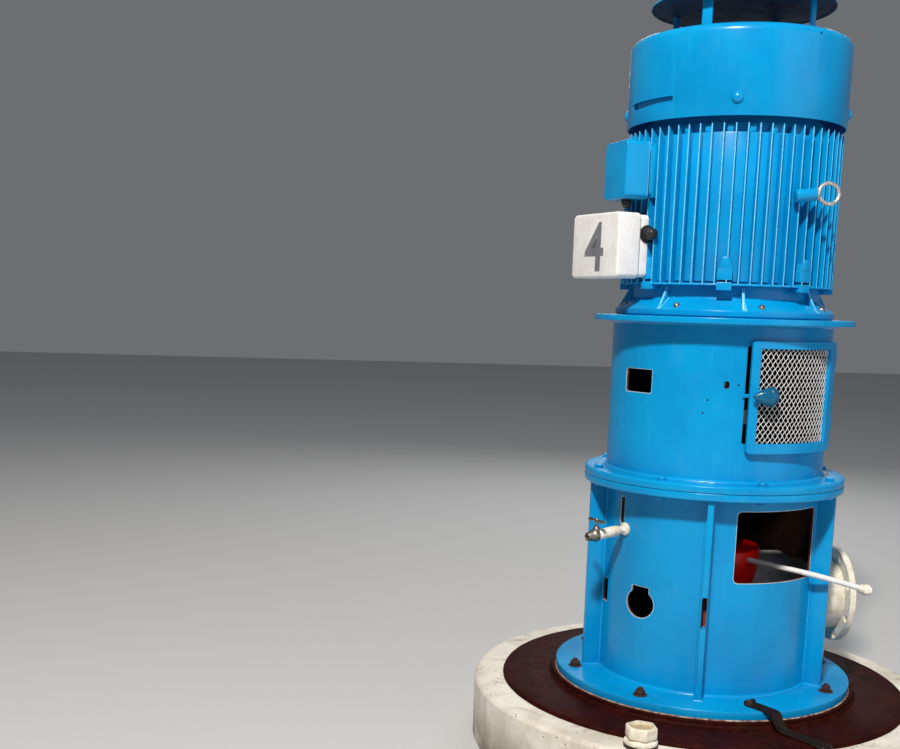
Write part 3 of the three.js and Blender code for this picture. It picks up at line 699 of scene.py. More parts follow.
PIN_HOLES = [(-98.6, 1441), (-113.2, 1385), (-115.1, 1339)]
NOZZLE_HEIGHT = 600
NOZZLE_RADIUS = 136.5


def opening(bearing, width, height, bottom, corner, more=0):
    slab = plate("cutter", width + 2 * more, height + 2 * more, CUTTER_DEPTH, corner + more if corner else 0)
    return set_out(slab, bearing, CUTTER_FROM, bottom + height / 2)


def drill(bearing, radius, height, stretch=1, more=0):
    tool = disc("cutter", radius + more, 0, CUTTER_DEPTH, 48)
    tool.scale.y = stretch
    return point_out(apply_place(tool), bearing, CUTTER_FROM, height)


def wall_coat(face):
    """0 is the outside, 1 the inside in painted shade, 2 a cut edge and 3 its rim with a painted highlight.
    """
    distance = face.center.xy.length / MM
    outward = abs(face.normal.dot(Vector((*face.center.xy.normalized(), 0))))
    if distance < BARREL_INSIDE + 1 and outward > 0.2:
        return 1
    if distance <= BARREL_RADIUS - CHIP_DEPTH * 1.4:
        return 2
    return 0 if outward > 0.9 and distance > BARREL_RADIUS - CHIP_DEPTH * 0.6 else 3


def make_barrel(name, low, high, chipped, tools, nodes):
    barrel = turned(name, band(BARREL_INSIDE, BARREL_RADIUS, low, high), BARREL_STEPS)
    chip_from = BARREL_RADIUS - CHIP_DEPTH
    for tool in chipped:
        skin = turned("cutter", band(chip_from, chip_from + 40, low, high), BARREL_STEPS)
        cut(barrel, cut(skin, tool, operation="INTERSECT"))
    cut(barrel, *tools)
    finish(barrel, [ENAMEL, PAINTED_SHADE_DARK, CUT_EDGE, RIM_HIGHLIGHT_PAINT], *nodes, rule=wall_coat)


def lower_openings(more=0):
    slabs = [opening(**hole, more=more) for hole in (WINDOW, SIDE_HOLE, VENT_SLOT, KEYHOLE_NOTCH)]
    return [*slabs, drill(**KEYHOLE, more=more)]


def make_barrels():
    nodes = ["lower_barrel_left", "lower_barrel_right", "lower_barrel_rear"]
    chipped = lower_openings(CHIPPED)
    tools = [*lower_openings(), drill(0, NOZZLE_RADIUS + 0.5, NOZZLE_HEIGHT)]
    make_barrel("lower_pipe_barrel", *levels("lower_barrel_rear"), chipped, tools, nodes)
    tools = [opening(**hole) for hole in (DOORWAY, HATCH, OVAL_HOLE)]
    tools += [drill(bearing, PIN_RADIUS, height) for bearing, height in PIN_HOLES]
    chipped = [opening(**HATCH, more=CHIPPED)]
    make_barrel("middle_pipe_barrel", *levels("mid_barrel"), chipped, tools, ["mid_barrel"])


make_barrels()
print("barrel wall from", BARREL_INSIDE, "to", BARREL_RADIUS, "mm")

# %% [markdown]
# Five flat ribs stand against the lower barrel. The front one has a narrow slot in its edge, with red
# primer inside. Beads run down both sides of each rib and round its foot. The beads are made once at
# the front and repeated round the axis.

# %% Ribs and their welds
RIBS = Sizes(bearing=-108, count=5, thick=22, depth=66)
RIB_SLOT = Sizes(low=573, high=690, width=18, deep=52, largest_face=0.004)


def make_ribs():
    low, high = levels("stiffening_rib_1")
    outer = BARREL_RADIUS + RIBS.depth
    ahead = at(RIBS.bearing, 1, 0).normalized()

    def primed(face):
        """Whether a face lies in the slot."""
        out = face.center.xy.length / MM
        inside = RIB_SLOT.low - 1 < face.center.z / MM < RIB_SLOT.high + 1 and abs(face.normal.z) <= 0.5
        deep = out < outer - 1.5 and (ahead.dot(face.normal) > 0.9 or out < outer - 8)
        return inside and deep and face.area < RIB_SLOT.largest_face

    for i in range(RIBS.count):
        name = f"flat_rib_{i + 1}" if i else "slotted_front_rib"
        rib = soften(web(name, band(BARREL_RADIUS - 2, outer, low, high), RIBS.thick), 2.2, 3)
        if not i:
            tool = plate("cutter", RIB_SLOT.width, RIB_SLOT.high - RIB_SLOT.low, RIB_SLOT.deep + 20, 4)
            cut(rib, shift(tool, outer - RIB_SLOT.deep, 0, (RIB_SLOT.low + RIB_SLOT.high) / 2))
        set_out(rib, RIBS.bearing + i * 360 / RIBS.count, 0, 0)
        coats, rule = (ENAMEL, None) if i else ([ENAMEL, SLOT_PRIMER], primed)
        finish(rib, coats, f"stiffening_rib_{i + 1}", rule=rule)
    return low, high, outer


def make_rib_welds(low, high, outer):
    size, half = 6, RIBS.thick / 2
    beads = []
    for side in (-1, 1):
        beside = side * (half + 1)
        upright = straight_bead("rib_welds", high - low - 2, size)
        beads.append(shift(upright, BARREL_RADIUS + 1, beside, low + 1))
        foot = turn(straight_bead("foot_bead", outer - BARREL_RADIUS, size + 1), y=90)
        beads.append(shift(foot, BARREL_RADIUS, beside, low))
    toe = turn(straight_bead("toe_bead", RIBS.thick + 10, size + 1), x=90)
    beads.append(shift(toe, outer + 0.5, half + 5, low))
    welds = set_out(join(*beads), RIBS.bearing, 0, 0)
    finish(ring_of(welds, RIBS.count), ENAMEL, smooth=60)


make_rib_welds(*make_ribs())
print("ribs made:", RIBS.count)

# %% [markdown]
# The flange pair holds the two barrels together. The upper ring has a wide chamfer, and the joint is
# a thin dark line between them. Eight bolts pass through, heads above and nuts below, thick with
# paint. Beads close the corners between barrel and flanges.

# %% Flanges, bolts and beads
PAIR_BOLTS = Sizes(count=8, bearing=-86, circle=454, across=30, thick=10)
JOINT_GAP = 1.6
STOOL_BORE = 120


def ring_outline(inner, outer, low, high, ease_low, ease_high):
    return [
        (inner, low), (outer - ease_low, low), (outer, low + ease_low),
        (outer, high - ease_high), (outer - ease_high, high), (inner, high),
    ]


def make_flange(name, node, inner, ease_low, ease_high, rounding, gap=0):
    low, high = levels(node)
    outline = ring_outline(inner, reach(node), low, high - gap, ease_low, ease_high)
    finish(soften(turned(name, outline, ROUND_STEPS), rounding), ENAMEL, node)
    return low, high


def make_flanges():
    low = make_flange("lower_flange_ring", "lower_top_flange", BARREL_INSIDE, 3, 1.5, 1.5, JOINT_GAP)[0]
    top = make_flange("upper_flange_ring", "mid_bottom_flange", BARREL_INSIDE, 1.5, 6, 2)[1]
    sizes = PAIR_BOLTS.across, PAIR_BOLTS.thick
    where = PAIR_BOLTS.count, PAIR_BOLTS.bearing, PAIR_BOLTS.circle
    heads = bolt_circle("flange_bolt_heads", *where, top, *sizes)
    nuts = bolt_circle("flange_nuts", *where, low, *sizes, down=True, stud=3)
    finish(join(heads, nuts), ENAMEL)
    make_flange("motor_stool_plate", "top_plate", STOOL_BORE, 2, 2, 1.2)
    beads = [
        ring_bead("barrel_beads", BARREL_RADIUS, BASE_TOP, 9),
        ring_bead("bead", BARREL_RADIUS, low, 8, up=-1),
        ring_bead("bead", BARREL_RADIUS, levels("mid_barrel")[0], 9),
        ring_bead("bead", BARREL_RADIUS, levels("top_plate")[0], 9, up=-1),
    ]
    finish(join(*beads), ENAMEL, smooth=60)


make_flanges()
print("flanges, bolts and beads made")

# %% [markdown]
# The guard door is rolled to the barrel's curve: a partly turned frame, its corners rounded by keeping
# only what lies inside a rounded slab, with the screen's opening cut out. The latch plate and the
# tongue, which crosses the gap on the left, are part of it.

# %% Guard door frame
DOOR = Sizes(inner=412, outer=430, start=-93.7, end=-36, bottom=1204, top=1596, corner=14)
SCREEN = Sizes(radius=419, start=-89.6, end=-44.5, bottom=1239, top=1570)
HINGE = Sizes(bearing=-33.5, radius=422, knuckle=7, height=26, levels=(1274, 1512))
LATCH = Sizes(bearing=-84.7, height=1406, base=430)


def make_door():
    middle, height = (DOOR.start + DOOR.end) / 2, DOOR.top - DOOR.bottom
    chord = 2 * DOOR.outer * math.sin(math.radians(DOOR.end - DOOR.start) / 2)
    rounded = plate("keeper", chord, height, 160, DOOR.corner)
    set_out(rounded, middle, 300, DOOR.bottom + height / 2)
    ends = DOOR.start, DOOR.end, DOOR.bottom, DOOR.top
    door = sector("curved_door_frame", DOOR.inner, DOOR.outer, *ends, 56)
    hole = sector("cutter", 400, 440, SCREEN.start, SCREEN.end, SCREEN.bottom, SCREEN.top, 43)
    cut(cut(door, rounded, operation="INTERSECT"), hole)
    soften(door, 1.3, 2, 50)
    latch_plate = soften(plate("latch_plate", 84, 42, 9.4, 6), 1.2)
    set_out(latch_plate, LATCH.bearing - 1.8, DOOR.outer - 8, LATCH.height)
    ends = DOOR.start - 3, DOOR.start + 2, LATCH.height - 6, LATCH.height + 6
    extras = [latch_plate, soften(sector("tongue", DOOR.inner, DOOR.inner + 4, *ends, 6), 1)]
    for level in HINGE.levels:
        low = level + HINGE.height + 0.5
        high = low + HINGE.height
        knuckle = disc("knuckle", HINGE.knuckle, low, high, 28)
        knuckle.location = at(HINGE.bearing, HINGE.radius, 0)
        ends = DOOR.end - 3, HINGE.bearing - 0.7, low, high
        arm = sector("arm", HINGE.radius - 4, HINGE.radius + 4, *ends, 5)
        extras += [soften(apply_place(knuckle), 1), soften(arm, 1)]
    finish(join(door, *extras), ENAMEL, "door_frame", body="guard_door")
    for node in ("door_hinge_1", "door_hinge_2"):
        NODES[node].data.materials.clear()
        NODES[node].data.materials.append(ENAMEL)


make_door()
print("door frame made")

# %% [markdown]
# The screen is expanded metal: one sheet is slit and pulled open into diamonds. One diamond is drawn,
# inset to the strand's width, emptied and thickened, then stacked into a column and repeated round
# the door. Each diamond is tilted a little, as the pulling tilts it, so that the strands glint.

# %% Expanded-metal screen
DIAMONDS = Sizes(across=17, up=12, strand=1.6, thick=1.8, lean=0.7, tilt=4)


def make_screen():
    sweep = SCREEN.end - SCREEN.start
    wide = 2 * SCREEN.radius * math.sin(math.radians(sweep) / DIAMONDS.across / 2)
    tall = (SCREEN.top - SCREEN.bottom) / DIAMONDS.up
    strand = DIAMONDS.strand
    y, z = (wide / 2 + strand / 2) * MM, (tall / 2 + strand / 2) * MM
    diamond = [Vector(p) for p in ((0, -y, 0), (0, 0, -z), (0, y, 0), (0, 0, z))]
    screen = flat_face("expanded_metal_screen", diamond)
    bpy.ops.mesh.inset(thickness=strand * MM)
    bpy.ops.mesh.delete(type="FACE")
    leave()
    for vertex in screen.data.vertices:
        if abs(vertex.co.y) + abs(vertex.co.z) * y / z < y - strand * MM / 2:
            way = 1 if vertex.co.z > vertex.co.y else -1
            vertex.co += Vector((0, y, -z)).normalized() * way * DIAMONDS.lean * MM
    edit(screen)
    push(DIAMONDS.thick)
    close_up()
    turn(soften(screen, 0.5, 1), y=DIAMONDS.tilt)
    step = {"use_constant_offset": True, "constant_offset_displace": (0, 0, tall * MM)}
    modify(screen, "ARRAY", count=DIAMONDS.up, use_relative_offset=False, **step)
    half_step = sweep / DIAMONDS.across / 2
    set_out(screen, SCREEN.start + half_step, SCREEN.radius - 1, SCREEN.bottom + tall / 2)
    finish(ring_of(screen, DIAMONDS.across, sweep), SCREEN_ZINC, "door_screen", body="guard_door")
    return wide, tall


print("diamonds in mm:", [round(v, 1) for v in make_screen()])

# %% [markdown]
# The latch is a pear-shaped knob that lies across the stile: a pointed cone, a raised ridge and a
# rounded end, turned about one line and flattened towards the door. A short stem carries it.

# %% Latch
KNOB_FLATNESS = 0.7
KNOB = [
    (0, -27), (15, -26), (23, -22), (28, -15), (30, -8), (31, -5), (36, -3), (36, 4), (33, 7), (32, 13),
    (30, 22), (25, 35), (18, 48), (9, 60), (3, 67), (0, 68),
]


def make_latch():
    knob = turned("latch_knob", KNOB, 56)
    knob.scale = (KNOB_FLATNESS, 1, 1)
    shift(turn(knob, x=90), 22)
    stem = turn(turned("stem", [(0, -3), (13, -3), (11, 12), (0, 12)], 32), y=90)
    latch = set_out(join(soften(knob, 1, 2, 20), stem), LATCH.bearing, LATCH.base, LATCH.height)
    # The knob's darker teal is painted reflection and shade.
    finish(latch, KNOB_PAINTED_REFLECTION, "latch_handle", body="latch", smooth=40)


make_latch()
print("latch made")

# %% [markdown]
# The motor stands on a cone with eight small gussets. Above each gusset is a lug in two halves, one
# on the end shield and one on the frame, with a thin joint between them. The gussets' slopes are
# painted paler, as a highlight.

# %% Motor foot
MOTOR_FLANGE_RADIUS = 402
FIN_TIP_RADIUS = 389
SHIELD_NECK = 345
LUGS = Sizes(count=8, bearing=-109, width=52, low=28, lift=-2, gap=7, high=46, neck=84)
GUSSETS = Sizes(bearing=-98.2, thick=10, top=106, largest_face=0.004)
FLANGE_BOLTS = Sizes(count=8, bearing=-88.5, circle=380)
DOME = [(0, 0), (14, 0), (14, 6), (12, 8), (12, 16), (9, 21), (5, 24), (0, 25)]


def lug(low, high):
    made = plate("lug", LUGS.width, high - low, FIN_TIP_RADIUS - SHIELD_NECK + 5, 3)
    return soften(set_out(made, LUGS.bearing, SHIELD_NECK - 5, (low + high) / 2), 2, 2)


def make_end_shield():
    low, high = levels("motor_end_shield")
    rim, outer, neck, top = low + 24, MOTOR_FLANGE_RADIUS, SHIELD_NECK, low + GUSSETS.top
    step = 360 / LUGS.count
    shield = soften(turned("end_shield_cone", [
        (0, low), (outer - 6, low), (outer - 6, low + 4), (outer, low + 4), (outer, rim),
        (neck + 7, low + 60), (neck, low + 66), (neck, high), (0, high),
    ], ROUND_STEPS), 2, 3, 25)
    slope = [(neck - 15, rim), (outer - 5, rim), (neck + 6, top), (neck - 15, top)]
    gusset = web("gusset", slope, GUSSETS.thick)
    turn(soften(gusset, 2, 2), z=GUSSETS.bearing)
    lower = ring_of(lug(high - LUGS.low + LUGS.lift, high + LUGS.lift), LUGS.count)

    def on_slope(face):
        """Whether a face lies on a gusset's slope."""
        centre = face.center.xy
        bearing = math.degrees(math.atan2(centre.y, centre.x)) - GUSSETS.bearing
        off = math.radians((bearing + step / 2) % step - step / 2) * centre.length / MM
        sloping = 0.1 < face.normal.z < 0.95 and abs(off) < GUSSETS.thick / 2
        return sloping and face.center.z > (rim + 4) * MM and face.area < GUSSETS.largest_face

    join(shield, ring_of(gusset, LUGS.count), lower)
    # The gussets' slopes get the pale painted highlight.
    finish(shield, [ENAMEL, PAINTED_HIGHLIGHT_ENAMEL], "motor_end_shield", rule=on_slope)
    dome = turned("motor_flange_bolts", DOME, 32)
    set_out(dome, FLANGE_BOLTS.bearing, FLANGE_BOLTS.circle, rim)
    finish(ring_of(dome, FLANGE_BOLTS.count), DULL_STEEL)


make_end_shield()
print("end shield made")

# %% [markdown]
# Cooling fins stand all round the motor's core. A cast fin is thinner at its tip than at its root, so
# one fin is drawn as a plate, narrowed at its outer edge, rounded and repeated sixty times. They run
# on above the core, and daylight and dark blocks show between their tops. Two pads carry the boxes.

# %% Finned motor frame
FINS = Sizes(count=60, root=356, root_thick=8.6, tip_thick=5, below=13, slope=40)
PAD_RADIUS = 391
MAIN_BOX = Sizes(
    name="main", coat=WHITE_ENAMEL, bearing=-171.3, reach=530, facing=-159.5, width=302, height=232,
    bottom=1801, lid=96, ease=9, body=72, body_in=(12, 12), corner=16, gasket_in=(18, 18),
)
AUX_BOX = Sizes(
    name="aux", coat=ENAMEL, bearing=-163.4, reach=497, facing=-167.5, width=170, height=200,
    bottom=2079, lid=90, ease=4, body=62, body_in=(44, 30), corner=14, gasket_in=(26, 20),
)
PADS = [(MAIN_BOX, -12, 29, 22, 212, 20), (AUX_BOX, -11, 22, 8, 196, 16)]


def make_fins(low, high):
    tip = FIN_TIP_RADIUS
    outline = [(FINS.root, low), (tip, low), (tip, high), (FINS.root, high - FINS.slope)]
    fin = web("fin", outline, FINS.root_thick)
    pick(fin)
    for vertex in fin.data.vertices:
        vertex.select = vertex.co.x > (FINS.root + tip) / 2 * MM
    bpy.ops.object.mode_set(mode="EDIT")
    bpy.ops.mesh.select_mode(type="VERT")
    narrowed = (1, FINS.tip_thick / FINS.root_thick, 1)
    bpy.ops.transform.resize(value=narrowed, center_override=(tip * MM, 0, 0))
    leave()
    return ring_of(soften(fin, 1.8, 3), FINS.count)


def make_lug_neck(radius, bottom, top):
    """The lug runs up into the fins, and narrows on the way."""
    half = LUGS.width / 2 - 1
    corners = ((-half, bottom), (half, bottom), (half * 0.42, top), (-half * 0.42, top))
    neck = flat_face("neck", [Vector((radius, y, z)) * MM for y, z in corners])
    push(FIN_TIP_RADIUS + 1 - radius)
    close_up()
    return turn(soften(neck, 2), z=LUGS.bearing)


def at_fin_tip(face, corners):
    heights = [corners[i].co.z for i in face.vertices]
    return abs(face.center.xy.length / MM - FIN_TIP_RADIUS) < 0.6 and max(heights) - min(heights) > 0.2


def make_motor_frame():
    low, high = levels("motor_frame")
    core_radius, fin_foot = FINS.root + 4, low - FINS.below
    whole = disc("finned_motor_frame", core_radius, low, levels("upper_end_shield")[0], 120)
    upper = lug(low + LUGS.lift + LUGS.gap, low + LUGS.high)
    neck = make_lug_neck(core_radius, low + LUGS.high - 2, low + LUGS.neck)
    upper = ring_of(join(upper, neck), LUGS.count)
    inner, outer = SHIELD_NECK + 1, FIN_TIP_RADIUS - 4
    foot = turned("foot_ring", [
        (inner, fin_foot), (outer, fin_foot), (outer - 2, fin_foot + 7), (inner, fin_foot + 9),
    ], 120)
    pads = []
    for box, back, sweep, bottom, top, steps in PADS:
        start = box.bearing + back
        ends = start, start + sweep, box.bottom + bottom, box.bottom + top
        pads.append(soften(sector("pad", core_radius - 4, PAD_RADIUS, *ends, steps), 3))
    join(soften(whole, 2), make_fins(fin_foot, high), upper, foot, *pads)
    corners = whole.data.vertices
    # Faces at the fin tips get the pale painted highlight.
    finish(whole, [ENAMEL, PAINTED_HIGHLIGHT_ENAMEL], "motor_frame", rule=lambda face: at_fin_tip(face, corners))


def make_upper_shield():
    low, high = levels("upper_end_shield")
    outline = [(0, low), (340, low), (336, low + 34), (300, low + 80), (280, high), (0, high)]
    shield = soften(turned("upper_shield_casting", outline, 120), 3, 3, 20)
    blocks = set_out(plate("core_blocks", 22, 26, 30, 3), -3, 330, low + 13)
    finish(join(shield, ring_of(soften(blocks, 2), 30)), ENAMEL, "upper_end_shield")


make_motor_frame()
make_upper_shield()
print("fins:", FINS.count)

# %% [markdown]
# The fan cover is pressed sheet: a smooth band with a rolled shoulder, a bright thin lip and a finger
# slot. Four domed screws hold it. The intake on top has a cast grille, which the rain hood hides.

# %% Fan cover, grille and hood
COVER = Sizes(wall=6, shoulder=30, recess=2440, intake=212)
SLOT = Sizes(start=-175, end=-142, low=2403, high=2427, end_radius=12)
PIN_HOLE = Sizes(radius=5, bearing=-66.9, height=2630)
COVER_SCREWS = Sizes(count=4, bearing=-108.5, height=2408)
SCREW = [(0, -2), (20, -2), (20, 2), (18, 6), (12, 10), (5, 12), (0, 12.4)]
GRILLE = Sizes(hub=46, first=64, step=19, half_bar=4, spokes=6, spoke=14)
HOOD_POSTS = Sizes(count=4, bearing=-135, radius=264, width=38, thick=8)


def shoulder(radius, top, ease, steps=8):
    """A quarter circle from the side up to the top."""
    turns = [math.pi / 2 * i / steps for i in range(steps + 1)]
    return [(radius - ease + ease * math.cos(a), top - ease + ease * math.sin(a)) for a in turns]


def make_cover():
    radius, (low, high) = reach("fan_cover"), levels("fan_cover")
    inner = radius - COVER.wall
    outline = [(0, COVER.recess), (inner, COVER.recess), (inner, low), (radius, low)]
    outline += shoulder(radius, high, COVER.shoulder)
    outline += [(COVER.intake, high), (COVER.intake, high - 26), (0, high - 26)]
    cover = soften(turned("pressed_fan_cover", outline, 180), 1.6, 2, 50)
    slot = sector("cutter", radius - 12, radius + 15, SLOT.start, SLOT.end, SLOT.low, SLOT.high, 24)
    round_end = disc("cutter", SLOT.end_radius, 0, 80, 32)
    point_out(round_end, SLOT.start, radius - 40, (SLOT.low + SLOT.high) / 2)
    pin = point_out(disc("cutter", PIN_HOLE.radius, 0, 80, 20), PIN_HOLE.bearing, 350, PIN_HOLE.height)
    cut(cover, slot, round_end, pin)
    ends = SLOT.start - 3, SLOT.end + 2, SLOT.low - 8, SLOT.high + 8
    finish(join(cover, sector("backing", inner - 9, inner - 7, *ends, 24)), ENAMEL, "fan_cover")
    screw = turned("cover_screws", SCREW, 36)
    point_out(screw, COVER_SCREWS.bearing, radius, COVER_SCREWS.height)
    finish(ring_of(screw, COVER_SCREWS.count), ENAMEL)


def make_grille():
    low, high = levels("intake_grille")
    edge = reach("intake_grille")
    hub = disc("intake_grille_bars", GRILLE.hub, low, high, 64)
    half, inner = GRILLE.half_bar, GRILLE.hub - 2
    bars = [
        soften(turned("bar", band(radius - half, radius + half, low, high), 96), 1)
        for radius in range(GRILLE.first, int(edge) - half, GRILLE.step)
    ]
    spoke = soften(plate("spoke", GRILLE.spoke, high - low, edge - inner), 1)
    set_out(spoke, 45, inner, (low + high) / 2)
    finish(join(soften(hub, 1.5), *bars, ring_of(spoke, GRILLE.spokes)), ENAMEL, "intake_grille")


def make_hood():
    radius, (low, high) = reach("rain_hood"), levels("rain_hood")
    hood = turned("spun_rain_hood", [
        (0, high - 9), (radius - 16, low + 6), (radius - 5, low), (radius, low), (radius, low + 7),
        (radius - 12, low + 14), (radius * 0.6, high - 4), (0, high),
    ], ROUND_STEPS)
    soften(hood, 0.8, 2, 20)
    # Faces that look down are painted dark blue as the shade under the hood.
    finish(hood, [ENAMEL, HOOD_SHADE], "rain_hood", rule=lambda face: face.normal.z < -0.3)
    foot, top = levels("hood_post_1")
    toe_length = HOOD_POSTS.width + 8
    for i in range(HOOD_POSTS.count):
        post = soften(plate(f"flat_hood_post_{i + 1}", HOOD_POSTS.width, top - foot, HOOD_POSTS.thick), 1.2)
        set_out(post, 0, HOOD_POSTS.radius, (foot + top) / 2)
        toe = turn(straight_bead("toe", toe_length, 5), x=90)
        shift(toe, HOOD_POSTS.radius + HOOD_POSTS.thick + 0.5, toe_length / 2, foot)
        turn(join(post, toe), z=HOOD_POSTS.bearing + 90 * i)
        finish(post, ENAMEL, f"hood_post_{i + 1}")


make_cover()
make_grille()
make_hood()
print("cover, grille and hood made")

# %% [markdown]
# A lifting eye is a forged ring on a collar, screwed into a boss on each side of the frame. Ring and
# collar are zinc coated, and the boss wears the motor's enamel.

# %% Lifting eyes
EYE = Sizes(x=96, side=391, height=2090, rise=6, boss=73, above=45, ring=35.5, wire=6.8, tilt=8)


def make_eye(sign, name):
    end = EYE.boss
    boss = turned(f"lifting_boss_{name}_turned", [(0, 0), (22, 0), (22, end - 3), (19, end), (0, end)], 40)
    soften(boss, 1.5)
    round_about = {"major_radius": EYE.ring * MM, "major_segments": 56}
    wire = {"minor_radius": EYE.wire * MM, "minor_segments": 18}
    eye = primitive(bpy.ops.mesh.primitive_torus_add, f"forged_eye_{name}", **round_about, **wire)
    shift(turn(turn(eye, x=90), z=-EYE.tilt), z=end + EYE.above)
    profile = [(0, end), (17, end), (18, end + 3), (16, end + 7), (9, end + 12), (0, end + 13)]
    join(eye, turned("collar", profile, 32))
    for piece in (boss, eye):
        turn(piece, y=90 - EYE.rise)
        piece.location = Vector((EYE.x, sign * EYE.side, EYE.height)) * MM
    finish(boss, ENAMEL, f"lifting_boss_{name}")
    finish(eye, ZINC, f"lifting_eye_{name}", smooth=50)


make_eye(-1, "front")
make_eye(1, "rear")
print("lifting eyes made")

# %% [markdown]
# Two terminal boxes hang on pads on the motor's side. Each is a deep, round-edged lid on a plainer
# body, with a dark line of gasket between. The body is cut to the motor's curve. The white box also
# has a neck and a flange behind, and carries a large grey numeral, which is text made bolder and
# turned into a thin raised mesh.

# %% Terminal boxes
GASKET = 3
NUMERAL = Sizes(text="4", bold=0.016, raised=0.0004, height=176, width=122, out=0.3, left=2, up=-4)
NECK = [("neck", 200, 170, 90, 12, 3, 161, -18), ("flange", 226, 196, 9, 14, 2, 80, -18)]


def put_on(obj, box, out, side=0, up=0):
    """Moves a piece about the middle of the box's face, and then to the motor's side."""
    middle = box.bottom + box.height / 2
    return set_out(shift(obj, out, side, up), box.bearing, box.reach, middle, box.facing)


def make_box(box, carried=()):
    """Lid and body. What the body carries is a row of names and sizes."""
    back = -box.lid - GASKET
    lid = plate(f"{box.name}_box_lid_pressed", box.width, box.height, box.lid, 19, 8)
    soften(lid, box.ease, 5, 50)
    finish(put_on(lid, box, -box.lid), box.coat, f"{box.name}_terminal_box_lid")
    wide, high = box.width - box.body_in[0], box.height - box.body_in[1]
    body = (f"{box.name}_box_body", wide, high, box.body, box.corner, 3, box.body, 0)
    parts = []
    for name, width, height, depth, corner, ease, behind, side in (body, *carried):
        part = put_on(soften(plate(name, width, height, depth, corner), ease), box, back - behind, side)
        parts.append(cut(part, disc("cutter", PAD_RADIUS, 1700, 2400, 120)))
    finish(join(*parts), box.coat, f"{box.name}_terminal_box")
    return back


def make_gasket(box, back):
    wide, high = box.width - box.gasket_in[0], box.height - box.gasket_in[1]
    gasket = plate(f"{box.name}_box_gasket", wide, high, GASKET + 2, 12)
    finish(put_on(gasket, box, back - 1), BLACK_NYLON)


def cable_gland(name, radius, length):
    """A gland along +Z: a six-sided collar, a ribbed dome nut and a soft lip."""
    ribs = turned(name, [
        (0, 16), (radius, 16), (radius, length - 12), (radius - 3, length - 5), (radius - 7, length),
        (0, length),
    ], 24)
    return join(soften(ribs, 1.5), bolt("collar", radius * 2.1, 13, washer=3))


def converted():
    bpy.ops.object.convert(target="MESH")
    return bpy.context.object


def make_numeral():
    mark = primitive(bpy.ops.object.text_add, "stencilled_numeral")
    mark.data.body = NUMERAL.text
    mark.data.extrude = NUMERAL.raised
    mark.data.offset = NUMERAL.bold
    mark.data.align_x = mark.data.align_y = "CENTER"
    mark = converted()
    size = mark.dimensions
    mark.scale = (NUMERAL.width * MM / size.x, NUMERAL.height * MM / size.y, 1)
    apply_place(mark)
    for i in (0, 1):
        places = [v.co[i] for v in mark.data.vertices]
        mark.location[i] = -(min(places) + max(places)) / 2
    turn(apply_place(mark), x=90, z=90)
    finish(put_on(mark, MAIN_BOX, NUMERAL.out, -NUMERAL.left, NUMERAL.up), NUMERAL_GREY)


def make_boxes():
    back = make_box(MAIN_BOX, NECK)
    make_gasket(MAIN_BOX, back)
    gland = turn(cable_gland("main_gland", 21, 46), x=-90)
    finish(put_on(gland, MAIN_BOX, back - 26, MAIN_BOX.width / 2 - 6, 42), BLACK_NYLON, "main_cable_gland")
    make_numeral()
    back = make_box(AUX_BOX)
    # The seam's lip is painted pale as a highlight.
    seam = plate("aux_lid_seam", AUX_BOX.width - 0.6, AUX_BOX.height - 0.6, 2.4, 18)
    finish(put_on(seam, AUX_BOX, back + GASKET + 0.5), PAINTED_HIGHLIGHT_ENAMEL)
    make_gasket(AUX_BOX, back)
    gland = turn(cable_gland("aux_gland", 15, 31), x=180)
    finish(put_on(gland, AUX_BOX, -40, 20, -AUX_BOX.height / 2 + 1), BLACK_NYLON, "aux_cable_gland")


make_boxes()
print("terminal boxes made")

# %% [markdown]
# Water turns a quarter circle on its way out. The bend is one ring of vertices, pushed up, spun
# through 90 degrees, pushed along and narrowed to the nozzle. The loose flange slides over its end,
# and a bead closes the gap round the nozzle where it leaves the barrel.

# %% Discharge bend and flange
BEND = Sizes(radius=168, turn=235, steps=24, bore=125, straight=300, narrow=352)
NOZZLE_WELD = (372, 416)
FLANGE_HOLES = Sizes(count=8, circle=165, radius=14)


def make_bend():
    knee = NOZZLE_HEIGHT - BEND.turn
    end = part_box("discharge_bend")[1].x / MM
    ring = {"vertices": 72, "radius": BEND.radius * MM, "location": (0, 0, BASE_TOP * MM)}
    bend = primitive(bpy.ops.mesh.primitive_circle_add, "cast_discharge_bend", **ring)
    edit(apply_place(bend))
    push(z=knee - BASE_TOP)
    centre = Vector((BEND.turn, 0, knee)) * MM
    bpy.ops.mesh.spin(steps=BEND.steps, angle=math.radians(90), center=centre, axis=(0, -1, 0))
    push(BEND.straight - BEND.turn)
    push(BEND.narrow - BEND.straight)
    share = NOZZLE_RADIUS / BEND.radius
    middle = Vector((BEND.turn, 0, NOZZLE_HEIGHT)) * MM
    bpy.ops.transform.resize(value=(1, share, share), center_override=middle)
    push(end - BEND.narrow)
    bpy.ops.mesh.select_all(action="SELECT")
    bpy.ops.mesh.fill_holes(sides=0)
    close_up()
    bore = turn(disc("cutter", BEND.bore, 360, end + 20, 72), y=90)
    cut(bend, shift(bore, z=NOZZLE_HEIGHT))
    join(soften(bend, 1.5, 2, 50), ring_bead("bend_foot", BEND.radius, BASE_TOP, 10))
    edge = (BARREL_RADIUS + 2) * MM
    coats = [PRIMER_GREY, CREAM_PAINT]
    finish(bend, coats, "discharge_bend", smooth=50, rule=lambda face: face.center.x > edge)


